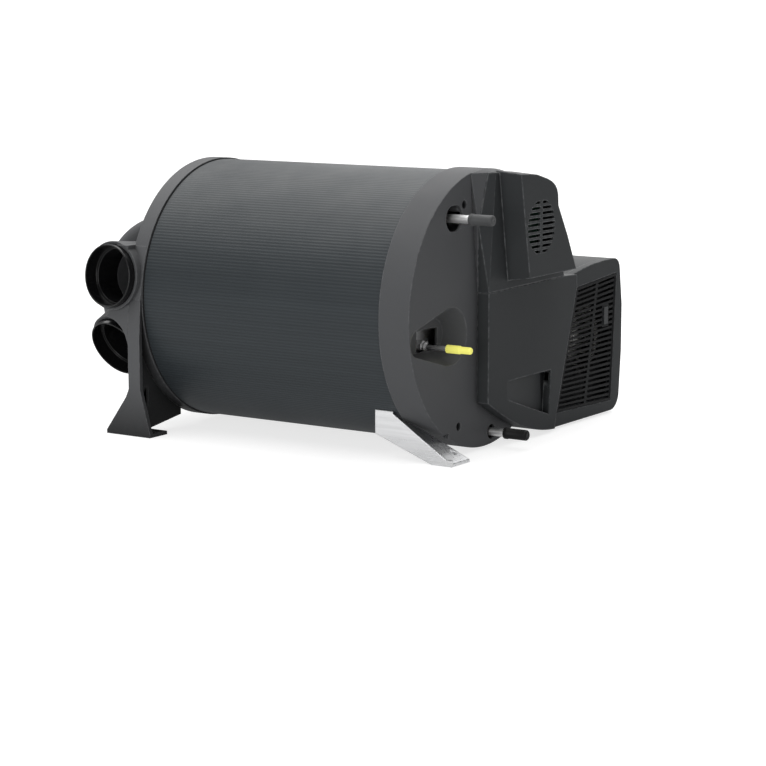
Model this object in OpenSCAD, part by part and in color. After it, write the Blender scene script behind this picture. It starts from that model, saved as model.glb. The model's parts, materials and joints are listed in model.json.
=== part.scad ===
// Horizontal warm-air and water heater for a caravan: a fluted drum between two moulded
// end caps, with a fan box and an electronics cover on the burner end.
// X runs along the drum towards the burner end, Z is up, and the floor is Z = 0.
// X = 0 is the line of the rear feet's screws, and Y = 0 is the plane of the drum's axis.

/* [Drum] */
// Height of the drum's axis above the floor
axis_h = 151; // [150.5:0.1:153]
// Outside diameter of the jacket over its flutes
jacket_d = 290; // [288:0.5:292]
// Length of the jacket
jacket_l = 308; // [290:1:340]
// Wall of the jacket
jacket_t = 2.5; // [2:0.1:3]
// Number of flutes round the jacket
flutes = 240; // [120:20:300]
// Depth of a flute
flute_d = 0.7; // [0.3:0.1:1]
// Thickness of the seals between the jacket and the caps
seal_t = 1; // [0.6:0.1:2]
// Thickness of the insulation between the jacket and the tank
insulation_t = 9; // [7:0.5:11]

/* [Rear cap] */
// Diameter of the rear rim
rear_rim_d = 293; // [292:0.5:296]
// Width of the rear rim
rear_rim_w = 18; // [16:1:22]
// Radius of the plenum behind the rear rim
plenum_r = 95; // [91:1:97]
// Length of the plenum across the drum
plenum_l = 176; // [168:1:184]
// Drop of the plenum's axis below the drum's
plenum_drop = 9; // [7:0.5:11]
// Wall of the moulded caps
cap_t = 3.5; // [3:0.1:4]
// Height of the foot's neck
foot_neck_h = 52; // [46:1:58]
// Length of the foot on the floor
foot_l = 61; // [56:1:70]
// Width of the foot on the floor
foot_w = 30; // [26:1:34]
// Distance between the outer faces of the feet
feet_span = 304; // [300:1:310]
// Diameter of the screw holes in the feet
foot_hole_d = 5.5; // [4.5:0.5:6.5]

/* [Warm-air outlets] */
// Bore of an outlet, for a duct of 65 mm
outlet_bore = 65.5; // [64:0.1:66]
// Wall of an outlet
outlet_t = 1.75; // [1.5:0.05:1.9]
// Depth to which a duct goes in
outlet_depth = 16; // [14:0.5:17]
// Rise of the upper mouths above the drum's axis
upper_outlet_rise = 25; // [24.5:0.1:27]
// Drop of the lower mouths below the drum's axis
lower_outlet_drop = 59.8; // [58.5:0.1:61]
// How far behind the screw line the upper mouths are
upper_outlet_back = 23; // [21:0.5:25]
// How far behind the screw line the lower mouths are
lower_outlet_back = 34; // [33:0.5:36]
// Distance of the upper mouths from the drum's middle plane
upper_outlet_out = 156; // [155:0.5:159]
// Distance of the lower mouths from the drum's middle plane
lower_outlet_out = 130; // [128:0.5:132]
// Turn of the outlets towards the rear
outlet_turn = 5; // [3:0.5:6]
// Upward tilt of the upper outlets
upper_tilt = 5; // [3:0.5:7]
// Downward tilt of the lower outlets
lower_tilt = 28; // [26:0.5:30]

/* [Front cap] */
// Diameter of the front rim
front_rim_d = 296; // [295:0.5:299]
// Width of the front rim
front_rim_w = 37; // [35:0.5:40]
// Depth of the fuel pocket
pocket_depth = 22; // [19:0.5:23]
// Width of the window in the floor of the fuel pocket
window_w = 40; // [36:1:42]
// Height of the window in the floor of the fuel pocket
window_h = 23; // [20:1:24]

/* [Covers] */
// Depth of the main panel in front of the front cap
panel_depth = 14.5; // [13:0.5:17]
// Depth of the electronics block in front of the front cap
block_depth = 41; // [38:0.5:44]
// Wall of the covers
cover_t = 3; // [2.5:0.1:3.2]
// Distance of the fan box's outer side from the drum's middle plane
fan_reach = 292; // [288:1:296]
// Height of the fan box's top
fan_top = 180; // [178:0.5:182]
// Height of the fan box's bottom above the floor
fan_bottom = 3.2; // [2:0.1:5]
// Length of the fan box behind the front cap's face
fan_box_l = 75; // [70:1:90]
// Number of slot rows in the intake grille
grille_rows = 24; // [16:1:26]
// Width of a slot in the intake grille
grille_slot = 3.2; // [2:0.1:3.4]
// Diameter of the round vent in the electronics cover
vent_d = 58; // [48:1:60]

/* [Fans] */
// Outside diameter of the circulation fan
fan_d = 104; // [90:1:110]
// Length of the circulation fan
fan_l = 27; // [22:0.5:30]
// Diameter of the circulation fan's shaft
fan_shaft_d = 6; // [5:0.5:8]
// Number of blades of the circulation fan
fan_blades = 26; // [16:1:30]
// Outside diameter of the combustion fan
burner_fan_d = 70; // [60:1:74]
// Diameter of the combustion fan's shaft
burner_shaft_d = 5; // [4:0.5:6]

/* [Tank and burner] */
// Length of the water tank
tank_l = 260; // [240:1:268]
// Bore of the water tank
tank_bore = 152; // [146:1:158]
// Wall of the water tank
tank_t = 1.2; // [1:0.1:2]
// Diameter of the heat exchanger over its fins
exchanger_d = 136; // [128:1:140]
// Diameter of the heat exchanger's body
exchanger_body_d = 92; // [90:1:96]
// Number of fins on the heat exchanger
fins = 24; // [12:1:30]
// Diameter of the burner flange
flange_d = 184; // [180:1:190]
// Thickness of the burner flange
flange_t = 8; // [6:0.5:9]

/* [Pipes] */
// Diameter of the water pipes
water_pipe_d = 9; // [8:0.5:10]
// Diameter of the fuel pipe
fuel_pipe_d = 5; // [4:0.5:6]
// Length of the caps on the water pipes
water_cap_l = 28; // [24:1:34]
// Length of the cap on the fuel pipe
fuel_cap_l = 30; // [26:1:34]
// Outside diameter of the exhaust and combustion-air pipes
flue_d = 24; // [20:0.5:25]

/* [Bracket] */
// Thickness of the front bracket's sheet
bracket_t = 3; // [2:0.25:3]
// Distance of the bracket's plate from the drum's middle plane
bracket_y = 106; // [104:0.5:108]
// Diameter of the bracket's screw hole
bracket_hole_d = 6.5; // [5.5:0.5:7]

/* [Fits] */
// Clearance between pieces that are fitted together
fit = 0.3; // [0.2:0.05:0.4]
// Radial clearance of a shaft in its bearing, and of a cap on its pipe
run = 0.05; // [0.02:0.01:0.08]

/* [Hidden] */
$fn = 96;

// Places along the drum
x_rim0 = 0;
x_rim1 = x_rim0 + rear_rim_w;
x_jacket0 = x_rim1 + seal_t;
x_jacket1 = x_jacket0 + jacket_l;
x_front0 = x_jacket1 + seal_t;
x_face = x_front0 + front_rim_w;
x_panel = x_face + panel_depth;
x_block = x_face + block_depth;
collar_l = 12;

// Radii about the drum's axis
jacket_r = jacket_d / 2;
bore_r = jacket_r - jacket_t;
collar_r = bore_r - fit;
tank_r = bore_r - insulation_t;
rear_rim_r = rear_rim_d / 2;
front_rim_r = front_rim_d / 2;

// Colours
cap_grey = "#63676a";
jacket_grey = "#3d4549";
face_grey = "#4c5052";
cover_grey = "#494d4f";
black = "#17181a";
silver = "#c9cccd";

// Points of an arc in the plane of two coordinates
function arc(c, r, a0, a1, n = 8) = [for (i = [0:n]) c + r * [cos(a0 + (a1 - a0) * i / n),
    sin(a0 + (a1 - a0) * i / n)]];
function mix(a, b, t) = a + (b - a) * t;

// Turns a solid's Z into the drum's X, at a point of the YZ plane
module along_x(x, y = 0, z = axis_h) {
    translate([x, y, z]) rotate([0, 90, 0]) children();
}

// A round bar along X
module bar_x(x0, x1, d, y = 0, z = axis_h) {
    along_x(x0, y, z) cylinder(h = x1 - x0, d = d);
}

// A ring along X
module ring_x(x0, x1, r0, r1) {
    difference() {
        bar_x(x0, x1, 2 * r1);
        bar_x(x0 - 1, x1 + 1, 2 * r0);
    }
}

// Raises an outline in Y and Z along X
module slab_x(x0, x1) {
    translate([x0, 0, 0]) rotate([90, 0, 90]) linear_extrude(x1 - x0) children();
}

// Raises an outline in X and Z along Y
module slab_y(y0, y1) {
    translate([0, y1, 0]) rotate([90, 0, 0]) linear_extrude(y1 - y0) children();
}

// Draws its children on both sides of the drum's middle plane
module both_sides() {
    children();
    mirror([0, 1, 0]) children();
}

// Rear cap

plenum_round = 14;
plenum_h = axis_h - plenum_drop;
upper_outlet_h = axis_h + upper_outlet_rise;
lower_outlet_h = axis_h - lower_outlet_drop;

// Half section of the plenum, which is turned about a level axis across the drum
function plenum_section(gap) = concat([[0, -plenum_l / 2 + gap]],
    arc([plenum_r - plenum_round, -plenum_l / 2 + plenum_round], plenum_round - gap, -90, 0),
    arc([plenum_r - plenum_round, plenum_l / 2 - plenum_round], plenum_round - gap, 0, 90),
    [[0, plenum_l / 2 - gap]]);

module plenum(gap, x1) {
    difference() {
        translate([x_rim0, 0, plenum_h]) rotate([-90, 0, 0]) rotate_extrude() polygon(plenum_section(gap));
        translate([x1, -plenum_l, plenum_h - 2 * plenum_r]) cube([2 * plenum_r, 2 * plenum_l, 4 * plenum_r]);
    }
}

module lathe_x(points) {
    along_x(0) rotate_extrude() polygon(points);
}

// Puts children at an outlet's mouth on the near side, with Z pointing out of the mouth
module at_outlet(back, out, h, tilt) {
    translate([-back, -out, h]) rotate([0, 0, -outlet_turn]) rotate([90 - tilt, 0, 0]) children();
}

module at_upper() {
    at_outlet(upper_outlet_back, upper_outlet_out, upper_outlet_h, upper_tilt) children();
}

module at_lower() {
    at_outlet(lower_outlet_back, lower_outlet_out, lower_outlet_h, -lower_tilt) children();
}

outlet_r = outlet_bore / 2 + outlet_t;
outlet_stop_t = 3;
outlet_stop_r = outlet_bore / 2 - 3.25;
outlet_l = outlet_depth + outlet_stop_t;
liner_l = 27;
boss_show = 8;
boss_t = 3;
boss_rib_l = 40;
boss_l = outlet_l + 58;
passage_l = 90;

module outlet_boss(gap) {
    translate([0, 0, -boss_l]) cylinder(h = boss_l - boss_show + gap, r = outlet_r + fit + boss_t + gap);
}

module outlet_seat() {
    translate([0, 0, -outlet_l]) cylinder(h = outlet_l + 1, r = outlet_r + fit);
    translate([0, 0, -outlet_l - liner_l]) cylinder(h = liner_l + 1, r = outlet_stop_r + outlet_t + fit);
    translate([0, 0, -passage_l]) cylinder(h = passage_l, r = outlet_stop_r);
}

foot_y = feet_span / 2;
foot_wall = 4;
foot_in = foot_y - foot_w;
foot_toe = 4;
neck_x0 = x_rim0 + 1.5;
neck_x1 = x_rim1 - 0.5;
leg_taper = 44;
leg_lip = 2.5;
leg_lean = 1;
web_in = 66;
web_low = 12;

// Rear edge of a leg in X and Z: a straight neck that flares to the foot
function leg_rear(gap) = [[neck_x0 + gap, axis_h], [neck_x0 + gap, foot_neck_h],
    [neck_x0 + gap - 4, foot_neck_h - 9], [-foot_l / 2 + gap, foot_toe + gap / 2]];

module leg_outline() {
    polygon(concat(leg_rear(0), [[-foot_l / 2, 0], [foot_l / 2, 0], [foot_l / 2, foot_toe],
        [neck_x1, foot_neck_h], [neck_x1, axis_h]]));
}

// Inside of the leg, which is open towards the burner end
module leg_hollow() {
    polygon(concat(leg_rear(foot_wall), [[-foot_l / 2 + foot_wall, foot_wall], [foot_l, foot_wall],
        [foot_l, axis_h]]));
}

module leg() {
    intersection() {
        difference() {
            slab_y(-foot_y, -foot_in) leg_outline();
            slab_y(-foot_y + foot_wall + leg_lean, -foot_in + 1) leg_hollow();
        }
        slab_x(-foot_l, foot_l) polygon([[-foot_y, 0], [-foot_y, axis_h - leg_taper],
            [-rear_rim_r - leg_lip, axis_h], [-foot_in, axis_h], [-foot_in, 0]]);
    }
    slab_x(neck_x0, neck_x0 + foot_wall)
        polygon([[-foot_in - 1, foot_toe], [-web_in, web_low], [-web_in, axis_h - rear_rim_r + 2 * web_low],
            [-foot_in - 1, axis_h - rear_rim_r / 2]]);
}

// Foot on the near side, a hollow leg with a web that lies against the rear rim
module foot() {
    color(cap_grey) difference() {
        leg();
        bar_x(-foot_l, foot_l, rear_rim_d + 2 * fit);
        at_upper() outlet_boss(fit);
        at_upper() outlet_seat();
        at_lower() outlet_boss(fit);
        translate([0, -foot_y + foot_w / 2, -1]) cylinder(h = foot_wall + 2, d = foot_hole_d);
    }
}

module near_foot() {
    foot();
}

module far_foot() {
    mirror([0, 1, 0]) foot();
}

module rear_cap() {
    color(cap_grey) difference() {
        union() {
            lathe_x([[0, x_rim0], [rear_rim_r, x_rim0], [rear_rim_r, x_rim1], [collar_r, x_rim1],
                [collar_r, x_rim1 + collar_l], [0, x_rim1 + collar_l]]);
            plenum(0, x_rim0 + 1);
            both_sides() {
                at_upper() outlet_boss(0);
                at_lower() outlet_boss(0);
                translate([-upper_outlet_back, -upper_outlet_out + boss_show, upper_outlet_h])
                    cube([upper_outlet_back + x_rim0 + 1, boss_rib_l, outlet_r - 1]);
            }
        }
        bar_x(x_rim0 + cap_t, x_rim1 + collar_l + 1, 2 * (collar_r - cap_t));
        plenum(cap_t, x_rim0 + cap_t + 1);
        both_sides() {
            at_upper() outlet_seat();
            at_lower() outlet_seat();
        }
    }
}

// One warm-air outlet with the stop ring for its duct and a liner that leads into the plenum
module outlet() {
    color(black) difference() {
        union() {
            translate([0, 0, -outlet_l]) cylinder(h = outlet_l, r = outlet_r);
            translate([0, 0, -outlet_l - liner_l]) cylinder(h = liner_l + 1, r = outlet_stop_r + outlet_t);
        }
        translate([0, 0, -outlet_depth]) cylinder(h = outlet_depth + 1, d = outlet_bore);
        translate([0, 0, -outlet_l - liner_l - 1]) cylinder(h = outlet_l + liner_l, r = outlet_stop_r);
    }
}

module upper_near_outlet() {
    at_upper() outlet();
}

module lower_near_outlet() {
    at_lower() outlet();
}

module upper_far_outlet() {
    mirror([0, 1, 0]) at_upper() outlet();
}

module lower_far_outlet() {
    mirror([0, 1, 0]) at_lower() outlet();
}

// Drum

module rear_seal() {
    color(black) ring_x(x_rim1, x_jacket0, collar_r + fit, jacket_r - 0.4);
}

module front_seal() {
    color(black) ring_x(x_jacket1, x_front0, collar_r + fit, jacket_r - 0.4);
}

module jacket() {
    step = 180 / flutes;
    color(jacket_grey) difference() {
        slab_x(x_jacket0, x_jacket1) translate([0, axis_h]) polygon([for (i = [0:2 * flutes - 1])
            (jacket_r - (i % 2) * flute_d) * [cos(i * step), sin(i * step)]]);
        bar_x(x_jacket0 - 1, x_jacket1 + 1, 2 * bore_r, $fn = 2 * flutes);
    }
}

insulation_x0 = x_rim1 + collar_l + fit;
insulation_x1 = x_front0 - collar_l - fit;

module insulation_half(side) {
    intersection() {
        ring_x(insulation_x0, insulation_x1, tank_r, bore_r);
        translate([0, -jacket_r, side > 0 ? axis_h : axis_h - jacket_r])
            cube([x_front0, jacket_d, jacket_r]);
    }
}

module upper_insulation() {
    color("white") insulation_half(1);
}

module lower_insulation() {
    color("white") insulation_half(-1);
}

// Tank, heat exchanger and burner

tank_x1 = x_front0 - 24;
tank_x0 = tank_x1 - tank_l;
tank_round = 12;
bore_round = 6;

// Section of the ring-shaped tank, with its edges rounded
function tank_section(gap) = concat(
    arc([tank_r - tank_round, tank_x0 + tank_round], tank_round - gap, 0, -90),
    arc([tank_bore / 2 + bore_round, tank_x0 + bore_round], bore_round - gap, 270, 180),
    arc([tank_bore / 2 + bore_round, tank_x1 - bore_round], bore_round - gap, 180, 90),
    arc([tank_r - tank_round, tank_x1 - tank_round], tank_round - gap, 90, 0));

module water_tank() {
    color(silver) along_x(0) rotate_extrude() difference() {
        polygon(tank_section(0));
        polygon(tank_section(tank_t));
    }
}

gasket_t = 1.5;
flange_x1 = x_front0;
flange_x0 = flange_x1 - flange_t;
gasket_x0 = flange_x0 - gasket_t;
exchanger_collar_d = 156;
exchanger_collar_l = 12;
exchanger_l = 222;
exchanger_wall = 4;
exchanger_x0 = gasket_x0 - exchanger_l;
fin_t = 3;
fin_in = 9;
bolt_d = 6;
bolt_x0 = gasket_x0 - exchanger_collar_l + 2;
bolt_ring = 132;

bolt_angles = [10, 82, 150, 210, 268];
lug_w = 16;
lug_r = tank_bore / 2 + 14;

// Puts children at the burner's bolts
module on_bolt_ring() {
    for (a = bolt_angles) along_x(0) rotate([0, 0, a + 90]) translate([bolt_ring / 2, 0, 0]) children();
}

module heat_exchanger() {
    body_r = exchanger_body_d / 2;
    color("silver") difference() {
        union() {
            bar_x(exchanger_x0, gasket_x0, exchanger_body_d);
            bar_x(gasket_x0 - exchanger_collar_l, gasket_x0, exchanger_collar_d);
            for (a = bolt_angles) along_x(tank_x1) rotate([0, 0, a + 90])
                translate([body_r, -lug_w / 2, 0]) cube([lug_r - body_r, lug_w, gasket_x0 - tank_x1]);
            for (i = [0:fins - 1]) along_x(exchanger_x0 + fin_in) rotate([0, 0, i * 360 / fins])
                translate([body_r - 2, -fin_t / 2, 0])
                    cube([exchanger_d / 2 - body_r + 2, fin_t, exchanger_l - 2 * fin_in]);
        }
        bar_x(exchanger_x0 + exchanger_wall, gasket_x0 + 1, exchanger_body_d - 2 * exchanger_wall);
        on_bolt_ring() translate([0, 0, bolt_x0]) cylinder(h = exchanger_collar_l, d = bolt_d + 2 * fit);
    }
}

module burner_gasket() {
    color("dimgray") difference() {
        ring_x(gasket_x0, flange_x0, exchanger_body_d / 2, exchanger_collar_d / 2);
        on_bolt_ring() translate([0, 0, gasket_x0 - 1]) cylinder(h = gasket_t + 2, d = bolt_d + 2 * fit);
    }
}

plug_y = -22;
plug_z = axis_h - 10;
plug_d = 8;
blower_y = 46;
blower_z = axis_h - 39;
port_d = 18;
port_y = 22;
port_z = axis_h - 18;

module burner_flange() {
    color("silver") difference() {
        bar_x(flange_x0, flange_x1, flange_d);
        bar_x(flange_x0 - 1, flange_x1 + 1, plug_d + 2 * fit, plug_y, plug_z);
        bar_x(flange_x0 - 1, flange_x1 + 1, port_d, port_y, port_z);
        on_bolt_ring() translate([0, 0, flange_x0 - 1]) cylinder(h = flange_t + 2, d = bolt_d + 2 * fit);
    }
}

module burner_bolts() {
    color(silver) on_bolt_ring() {
        translate([0, 0, bolt_x0 + 1]) cylinder(h = flange_x1 - bolt_x0 - 1, d = bolt_d);
        translate([0, 0, flange_x1]) cylinder(h = 4, d = 10, $fn = 6);
    }
}

tube_d = 76;
tube_t = 3;
tube_l = 186;

module combustion_tube() {
    color("gray") ring_x(flange_x0 - tube_l, flange_x0, tube_d / 2 - tube_t, tube_d / 2);
}

head_l = 20;
head_t = 3;

module burner_head() {
    head_d = tube_d - 2 * tube_t - 2 * fit;
    color("gray") difference() {
        bar_x(flange_x0 - head_l, flange_x0, head_d);
        bar_x(flange_x0 - head_l + head_t, flange_x0 + 1, head_d - 2 * head_t);
        bar_x(flange_x0 - head_l - 1, flange_x0 + 1, plug_d + 2 * fit, plug_y, plug_z);
        for (a = [0:45:315]) bar_x(flange_x0 - head_l - 1, flange_x0, 6, 14 * cos(a), axis_h + 14 * sin(a));
    }
}

module glow_plug() {
    color("lightgray") {
        bar_x(flange_x0 - head_l - 10, flange_x1, plug_d, plug_y, plug_z);
        along_x(flange_x1, plug_y, plug_z) cylinder(h = 8, d = 14, $fn = 6);
        bar_x(flange_x1 + 8, flange_x1 + 18, 4, plug_y, plug_z);
    }
}

module overheat_switch() {
    color("dimgray") {
        bar_x(flange_x1, flange_x1 + 7, 18, -30, axis_h + 34);
        bar_x(flange_x1 + 7, flange_x1 + 10, 12, -30, axis_h + 34);
    }
}

// Combustion blower

blower_d = 84;
blower_l = 28;
blower_t = 3;
blower_x1 = flange_x1 + blower_l;
wheel_l = 14;
wheel_x0 = flange_x1 + blower_t + 3;
blower_blades = 14;

module blower_housing() {
    color("darkgray") difference() {
        union() {
            bar_x(flange_x1, blower_x1, blower_d, blower_y, blower_z);
            bar_x(blower_x1, blower_x1 + 3, 30, blower_y, blower_z);
        }
        bar_x(flange_x1 + blower_t, blower_x1 - blower_t, blower_d - 2 * blower_t, blower_y, blower_z);
        bar_x(blower_x1 - blower_t - 1, blower_x1 + 4, burner_shaft_d + 2 * run, blower_y, blower_z);
        bar_x(flange_x1 - 1, flange_x1 + blower_t + 1, port_d, port_y, port_z);
        at_air_pipe() translate([0, 0, air_start]) cylinder(h = 20, d = flue_d - 2 * flue_t);
    }
}

motor_d = 34;

module blower_motor() {
    x0 = blower_x1 + 3;
    x1 = x_panel - cover_t - 1;
    color("dimgray") difference() {
        bar_x(x0, x1, motor_d, blower_y, blower_z);
        bar_x(x0 - 1, x1 - 3, burner_shaft_d + 2 * run, blower_y, blower_z);
    }
}

module blower_shaft() {
    color(silver) bar_x(wheel_x0, x_panel - cover_t - 5, burner_shaft_d, blower_y, blower_z);
}

// A fan wheel: a back plate with a hub, a ring of leaning blades and a front ring
module fan_wheel(d, l, bore, blades, plate, hub_d, lean) {
    blade_w = d * 0.13;
    difference() {
        union() {
            cylinder(h = plate, d = d);
            cylinder(h = l * 0.7, d = hub_d);
            for (i = [0:blades - 1]) rotate([0, 0, i * 360 / blades])
                translate([d / 2 - blade_w, 0, plate / 2]) rotate([0, 0, lean])
                    translate([0, -0.6, 0]) cube([blade_w * 0.98, 1.2, l - plate]);
            translate([0, 0, l - plate]) difference() {
                cylinder(h = plate, d = d);
                translate([0, 0, -1]) cylinder(h = plate + 2, d = d - 2 * blade_w);
            }
        }
        translate([0, 0, -1]) cylinder(h = l + 2, d = bore);
    }
}

module blower_wheel() {
    color("gainsboro") along_x(wheel_x0, blower_y, blower_z)
        fan_wheel(burner_fan_d, wheel_l, burner_shaft_d, blower_blades, 2, 14, 28);
}

// Exhaust and combustion-air pipes, which leave through the far side of the front rim

flue_x = x_front0 + front_rim_w / 2;
exhaust_angle = 44;
exhaust_r0 = 66;
air_angle = 45;
grommet_t = 3;
grommet_in = 5.5;
grommet_out = 3;
air_grommet_in = 12;
air_grommet_out = 8;
flue_t = 1.5;
flue_shoulder = 1;
flue_body_d = flue_d + 2 * flue_shoulder;
spigot_l = 24;
exhaust_shoulder = front_rim_r + grommet_out + 1;

// Distance along a ray from a point inside a circle to the circle
function ray_exit(p, d, r) = -p * d + sqrt((p * d) * (p * d) - p * p + r * r);

air_exit = ray_exit([blower_y, blower_z - axis_h], [cos(air_angle), sin(air_angle)], front_rim_r);
air_start = blower_d / 2 - 12;
air_shoulder = air_exit + air_grommet_out + 1;

module at_exhaust() {
    translate([flue_x, 0, axis_h]) rotate([-90 + exhaust_angle, 0, 0]) children();
}

module at_air_pipe() {
    translate([flue_x, blower_y, blower_z]) rotate([-90 + air_angle, 0, 0]) children();
}

// A pipe with a shoulder, beyond which its narrower end takes a hose
module flue_tube(start, shoulder) {
    translate([0, 0, start]) cylinder(h = shoulder - start, d = flue_body_d);
    translate([0, 0, shoulder]) cylinder(h = spigot_l, d = flue_d);
}

module exhaust_pipe() {
    y = exhaust_r0 * cos(exhaust_angle);
    z = axis_h + exhaust_r0 * sin(exhaust_angle);
    elbow_d = flue_body_d + 2 * flue_t;
    elbow_end = flue_x + elbow_d / 2;
    color(silver) difference() {
        union() {
            at_exhaust() flue_tube(exhaust_r0, exhaust_shoulder);
            bar_x(flange_x1, elbow_end, elbow_d, y, z);
        }
        at_exhaust() translate([0, 0, exhaust_r0]) cylinder(h = front_rim_d, d = flue_d - 2 * flue_t);
        bar_x(flange_x1 - 1, elbow_end - flue_t, elbow_d - 2 * flue_t, y, z);
    }
}

module combustion_air_pipe() {
    color(black) difference() {
        at_air_pipe() flue_tube(air_start, air_shoulder);
        at_air_pipe() cylinder(h = front_rim_d, d = flue_d - 2 * flue_t);
        bar_x(flange_x1 - 1, x_face, blower_d, blower_y, blower_z);
    }
}

// A rubber ring round a pipe in the rim's wall
module grommet(r0, r1) {
    difference() {
        translate([0, 0, r0]) cylinder(h = r1 - r0, d = flue_body_d + 2 * grommet_t);
        translate([0, 0, r0 - 1]) cylinder(h = r1 - r0 + 2, d = flue_body_d);
    }
}

module grommet_hole(r) {
    translate([0, 0, r - 25]) cylinder(h = 50, d = flue_body_d + 2 * grommet_t + fit);
}

module exhaust_grommet() {
    color(black) at_exhaust() grommet(front_rim_r - grommet_in, front_rim_r + grommet_out);
}

module air_grommet() {
    color(black) at_air_pipe() grommet(air_exit - air_grommet_in, air_exit + air_grommet_out);
}

// Front cap

hot_y = -62;
hot_z = axis_h + 100;
hot_hole_r = 13.5;
hot_hole_l = 6;
cold_y = 15;
cold_z = axis_h - front_rim_r + cap_t + 10;
cold_hole_d = 16;
opening_in = 8;
opening_r = front_rim_r - 11;
pocket_z = axis_h - 22;
pocket_y = -67;
pocket_r = 30;
pocket_end_y = -131;
pocket_end_r = 14;
pocket_floor = x_face - pocket_depth;
window_y = pocket_y - 13;
window_z = pocket_z - 4;
flange_stop_d = 12;
screw_places = [on_face(27, 110.8), on_face(18, 246.4)];
screw_well = 14;
well_d = 9;
screw_d = 4;
screw_l = 12;
screw_head_h = 3;
air_edge = 8;
air_way_in = 50;
air_way_low = 75;
air_way_h = 60;
flange_stops = [[-52, axis_h + 60], [-44, axis_h - 72]];
pocket_draft = 13;
drain_at = [-80, axis_h - 132];
drain_size = [9, 8];

// Point of the front face, so far in from the rim's edge
function on_face(in, angle) = [0, axis_h] + (front_rim_r - in) * [cos(angle), sin(angle)];

// Way of the warm air from the fan box through the rim into the drum
module air_window() {
    translate([x_front0 + air_edge, front_rim_r - air_way_in, axis_h - air_way_low])
        cube([front_rim_w - 2 * air_edge, air_way_in + 10, air_way_h]);
}

module hot_hole() {
    for (s = [-1, 1])
        bar_x(x_face - cap_t - 1, x_face + 1, 2 * hot_hole_r, hot_y + s * hot_hole_l / 2, hot_z);
    translate([x_face - cap_t - 1, hot_y - hot_hole_l / 2, hot_z - hot_hole_r])
        cube([cap_t + 2, hot_hole_l, 2 * hot_hole_r]);
}

// Solid of the fuel pocket, a bowl on the right that runs out to a narrow end on the left
module pocket(gap, over) {
    hull() {
        along_x(pocket_floor - gap, pocket_y, pocket_z) cylinder(h = pocket_depth + gap + over,
            r1 = pocket_r - pocket_draft + gap, r2 = pocket_r + gap + over, $fn = 72);
        along_x(pocket_floor - gap, pocket_end_y, pocket_z) cylinder(h = pocket_depth + gap + over,
            r = pocket_end_r + gap, $fn = 72);
    }
}

module front_cap() {
    color(face_grey) difference() {
        union() {
            lathe_x([[collar_r - cap_t, x_front0 - collar_l], [collar_r, x_front0 - collar_l],
                [collar_r, x_front0], [front_rim_r, x_front0], [front_rim_r, x_face], [0, x_face],
                [0, x_face - cap_t], [front_rim_r - cap_t, x_face - cap_t],
                [front_rim_r - cap_t, x_front0 + cap_t], [collar_r - cap_t, x_front0 + cap_t]]);
            intersection() {
                pocket(cap_t - 0.5, 0);
                bar_x(x_front0, x_face, front_rim_d - 1);
            }
            for (p = screw_places)
                bar_x(x_face - screw_well - cap_t, x_face, well_d + 2 * cap_t, p[0], p[1]);
            for (p = flange_stops) bar_x(flange_x1, x_face - 1, flange_stop_d, p[0], p[1]);
        }
        slab_x(x_face - cap_t - 1, x_face + 1) intersection() {
            translate([0, axis_h]) circle(r = opening_r);
            polygon(cover_outline(opening_in, axis_h));
        }
        hot_hole();
        pocket(0, 1);
        translate([pocket_floor - cap_t - 1, window_y - window_w / 2, window_z - window_h / 2])
            cube([cap_t + 2, window_w, window_h]);
        for (p = screw_places) {
            bar_x(x_face - screw_well, x_face + 1, well_d, p[0], p[1]);
            bar_x(x_face - screw_well - cap_t - 1, x_face, screw_d + 2 * fit, p[0], p[1]);
        }
        bar_x(x_face - cap_t - 1, x_face + 1, cold_hole_d, cold_y, cold_z);
        slab_x(x_face - cap_t - 1, x_face + 1) translate(drain_at) square(drain_size);
        air_window();
        at_exhaust() grommet_hole(front_rim_r);
        at_air_pipe() grommet_hole(air_exit);
    }
}

module front_cap_screws() {
    color(silver) for (p = screw_places) {
        bar_x(x_face - screw_well, x_face - screw_well + screw_head_h, well_d - 1, p[0], p[1]);
        bar_x(x_face - screw_well - screw_l, x_face - screw_well, screw_d, p[0], p[1]);
    }
}

// Water and fuel pipes

cap_wall = 1.2;
cap_gap = 0.3;
cap_end_t = 2;
grip_l = 4;
fuel_grip_l = 16;
pipe_t = 1;
hot_pipe_out = 45;
cold_pipe_out = 43;
fuel_pipe_out = 27;
pipe_end = x_face + hot_pipe_out;
cold_end = x_face + cold_pipe_out;
fuel_end = x_face + fuel_pipe_out;

module hot_water_pipe() {
    color(silver) difference() {
        bar_x(tank_x1, pipe_end, water_pipe_d, hot_y, hot_z);
        bar_x(tank_x1 - 1, pipe_end + 1, water_pipe_d - 2 * pipe_t, hot_y, hot_z);
    }
}

// A push-on cap with a grip ring at its mouth
module pipe_cap(l, pipe_d, grip) {
    difference() {
        union() {
            cylinder(h = l, d = pipe_d + 2 * run + 2 * cap_wall);
            cylinder(h = grip, d = pipe_d + 2 * run + 3 * cap_wall);
        }
        translate([0, 0, -1]) cylinder(h = l - cap_end_t + 1, d = pipe_d + 2 * run);
    }
}

module hot_pipe_cap() {
    color(face_grey) along_x(pipe_end + cap_end_t + cap_gap - water_cap_l, hot_y, hot_z)
        pipe_cap(water_cap_l, water_pipe_d, grip_l);
}

elbow_x0 = x_front0 + cap_t + 1;
elbow_x1 = elbow_x0 + 14;
elbow_w = 16;
elbow_wall = 3;
elbow_low = 5;
elbow_over = 8;
elbow_in_z = axis_h - tank_r + 24;

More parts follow.
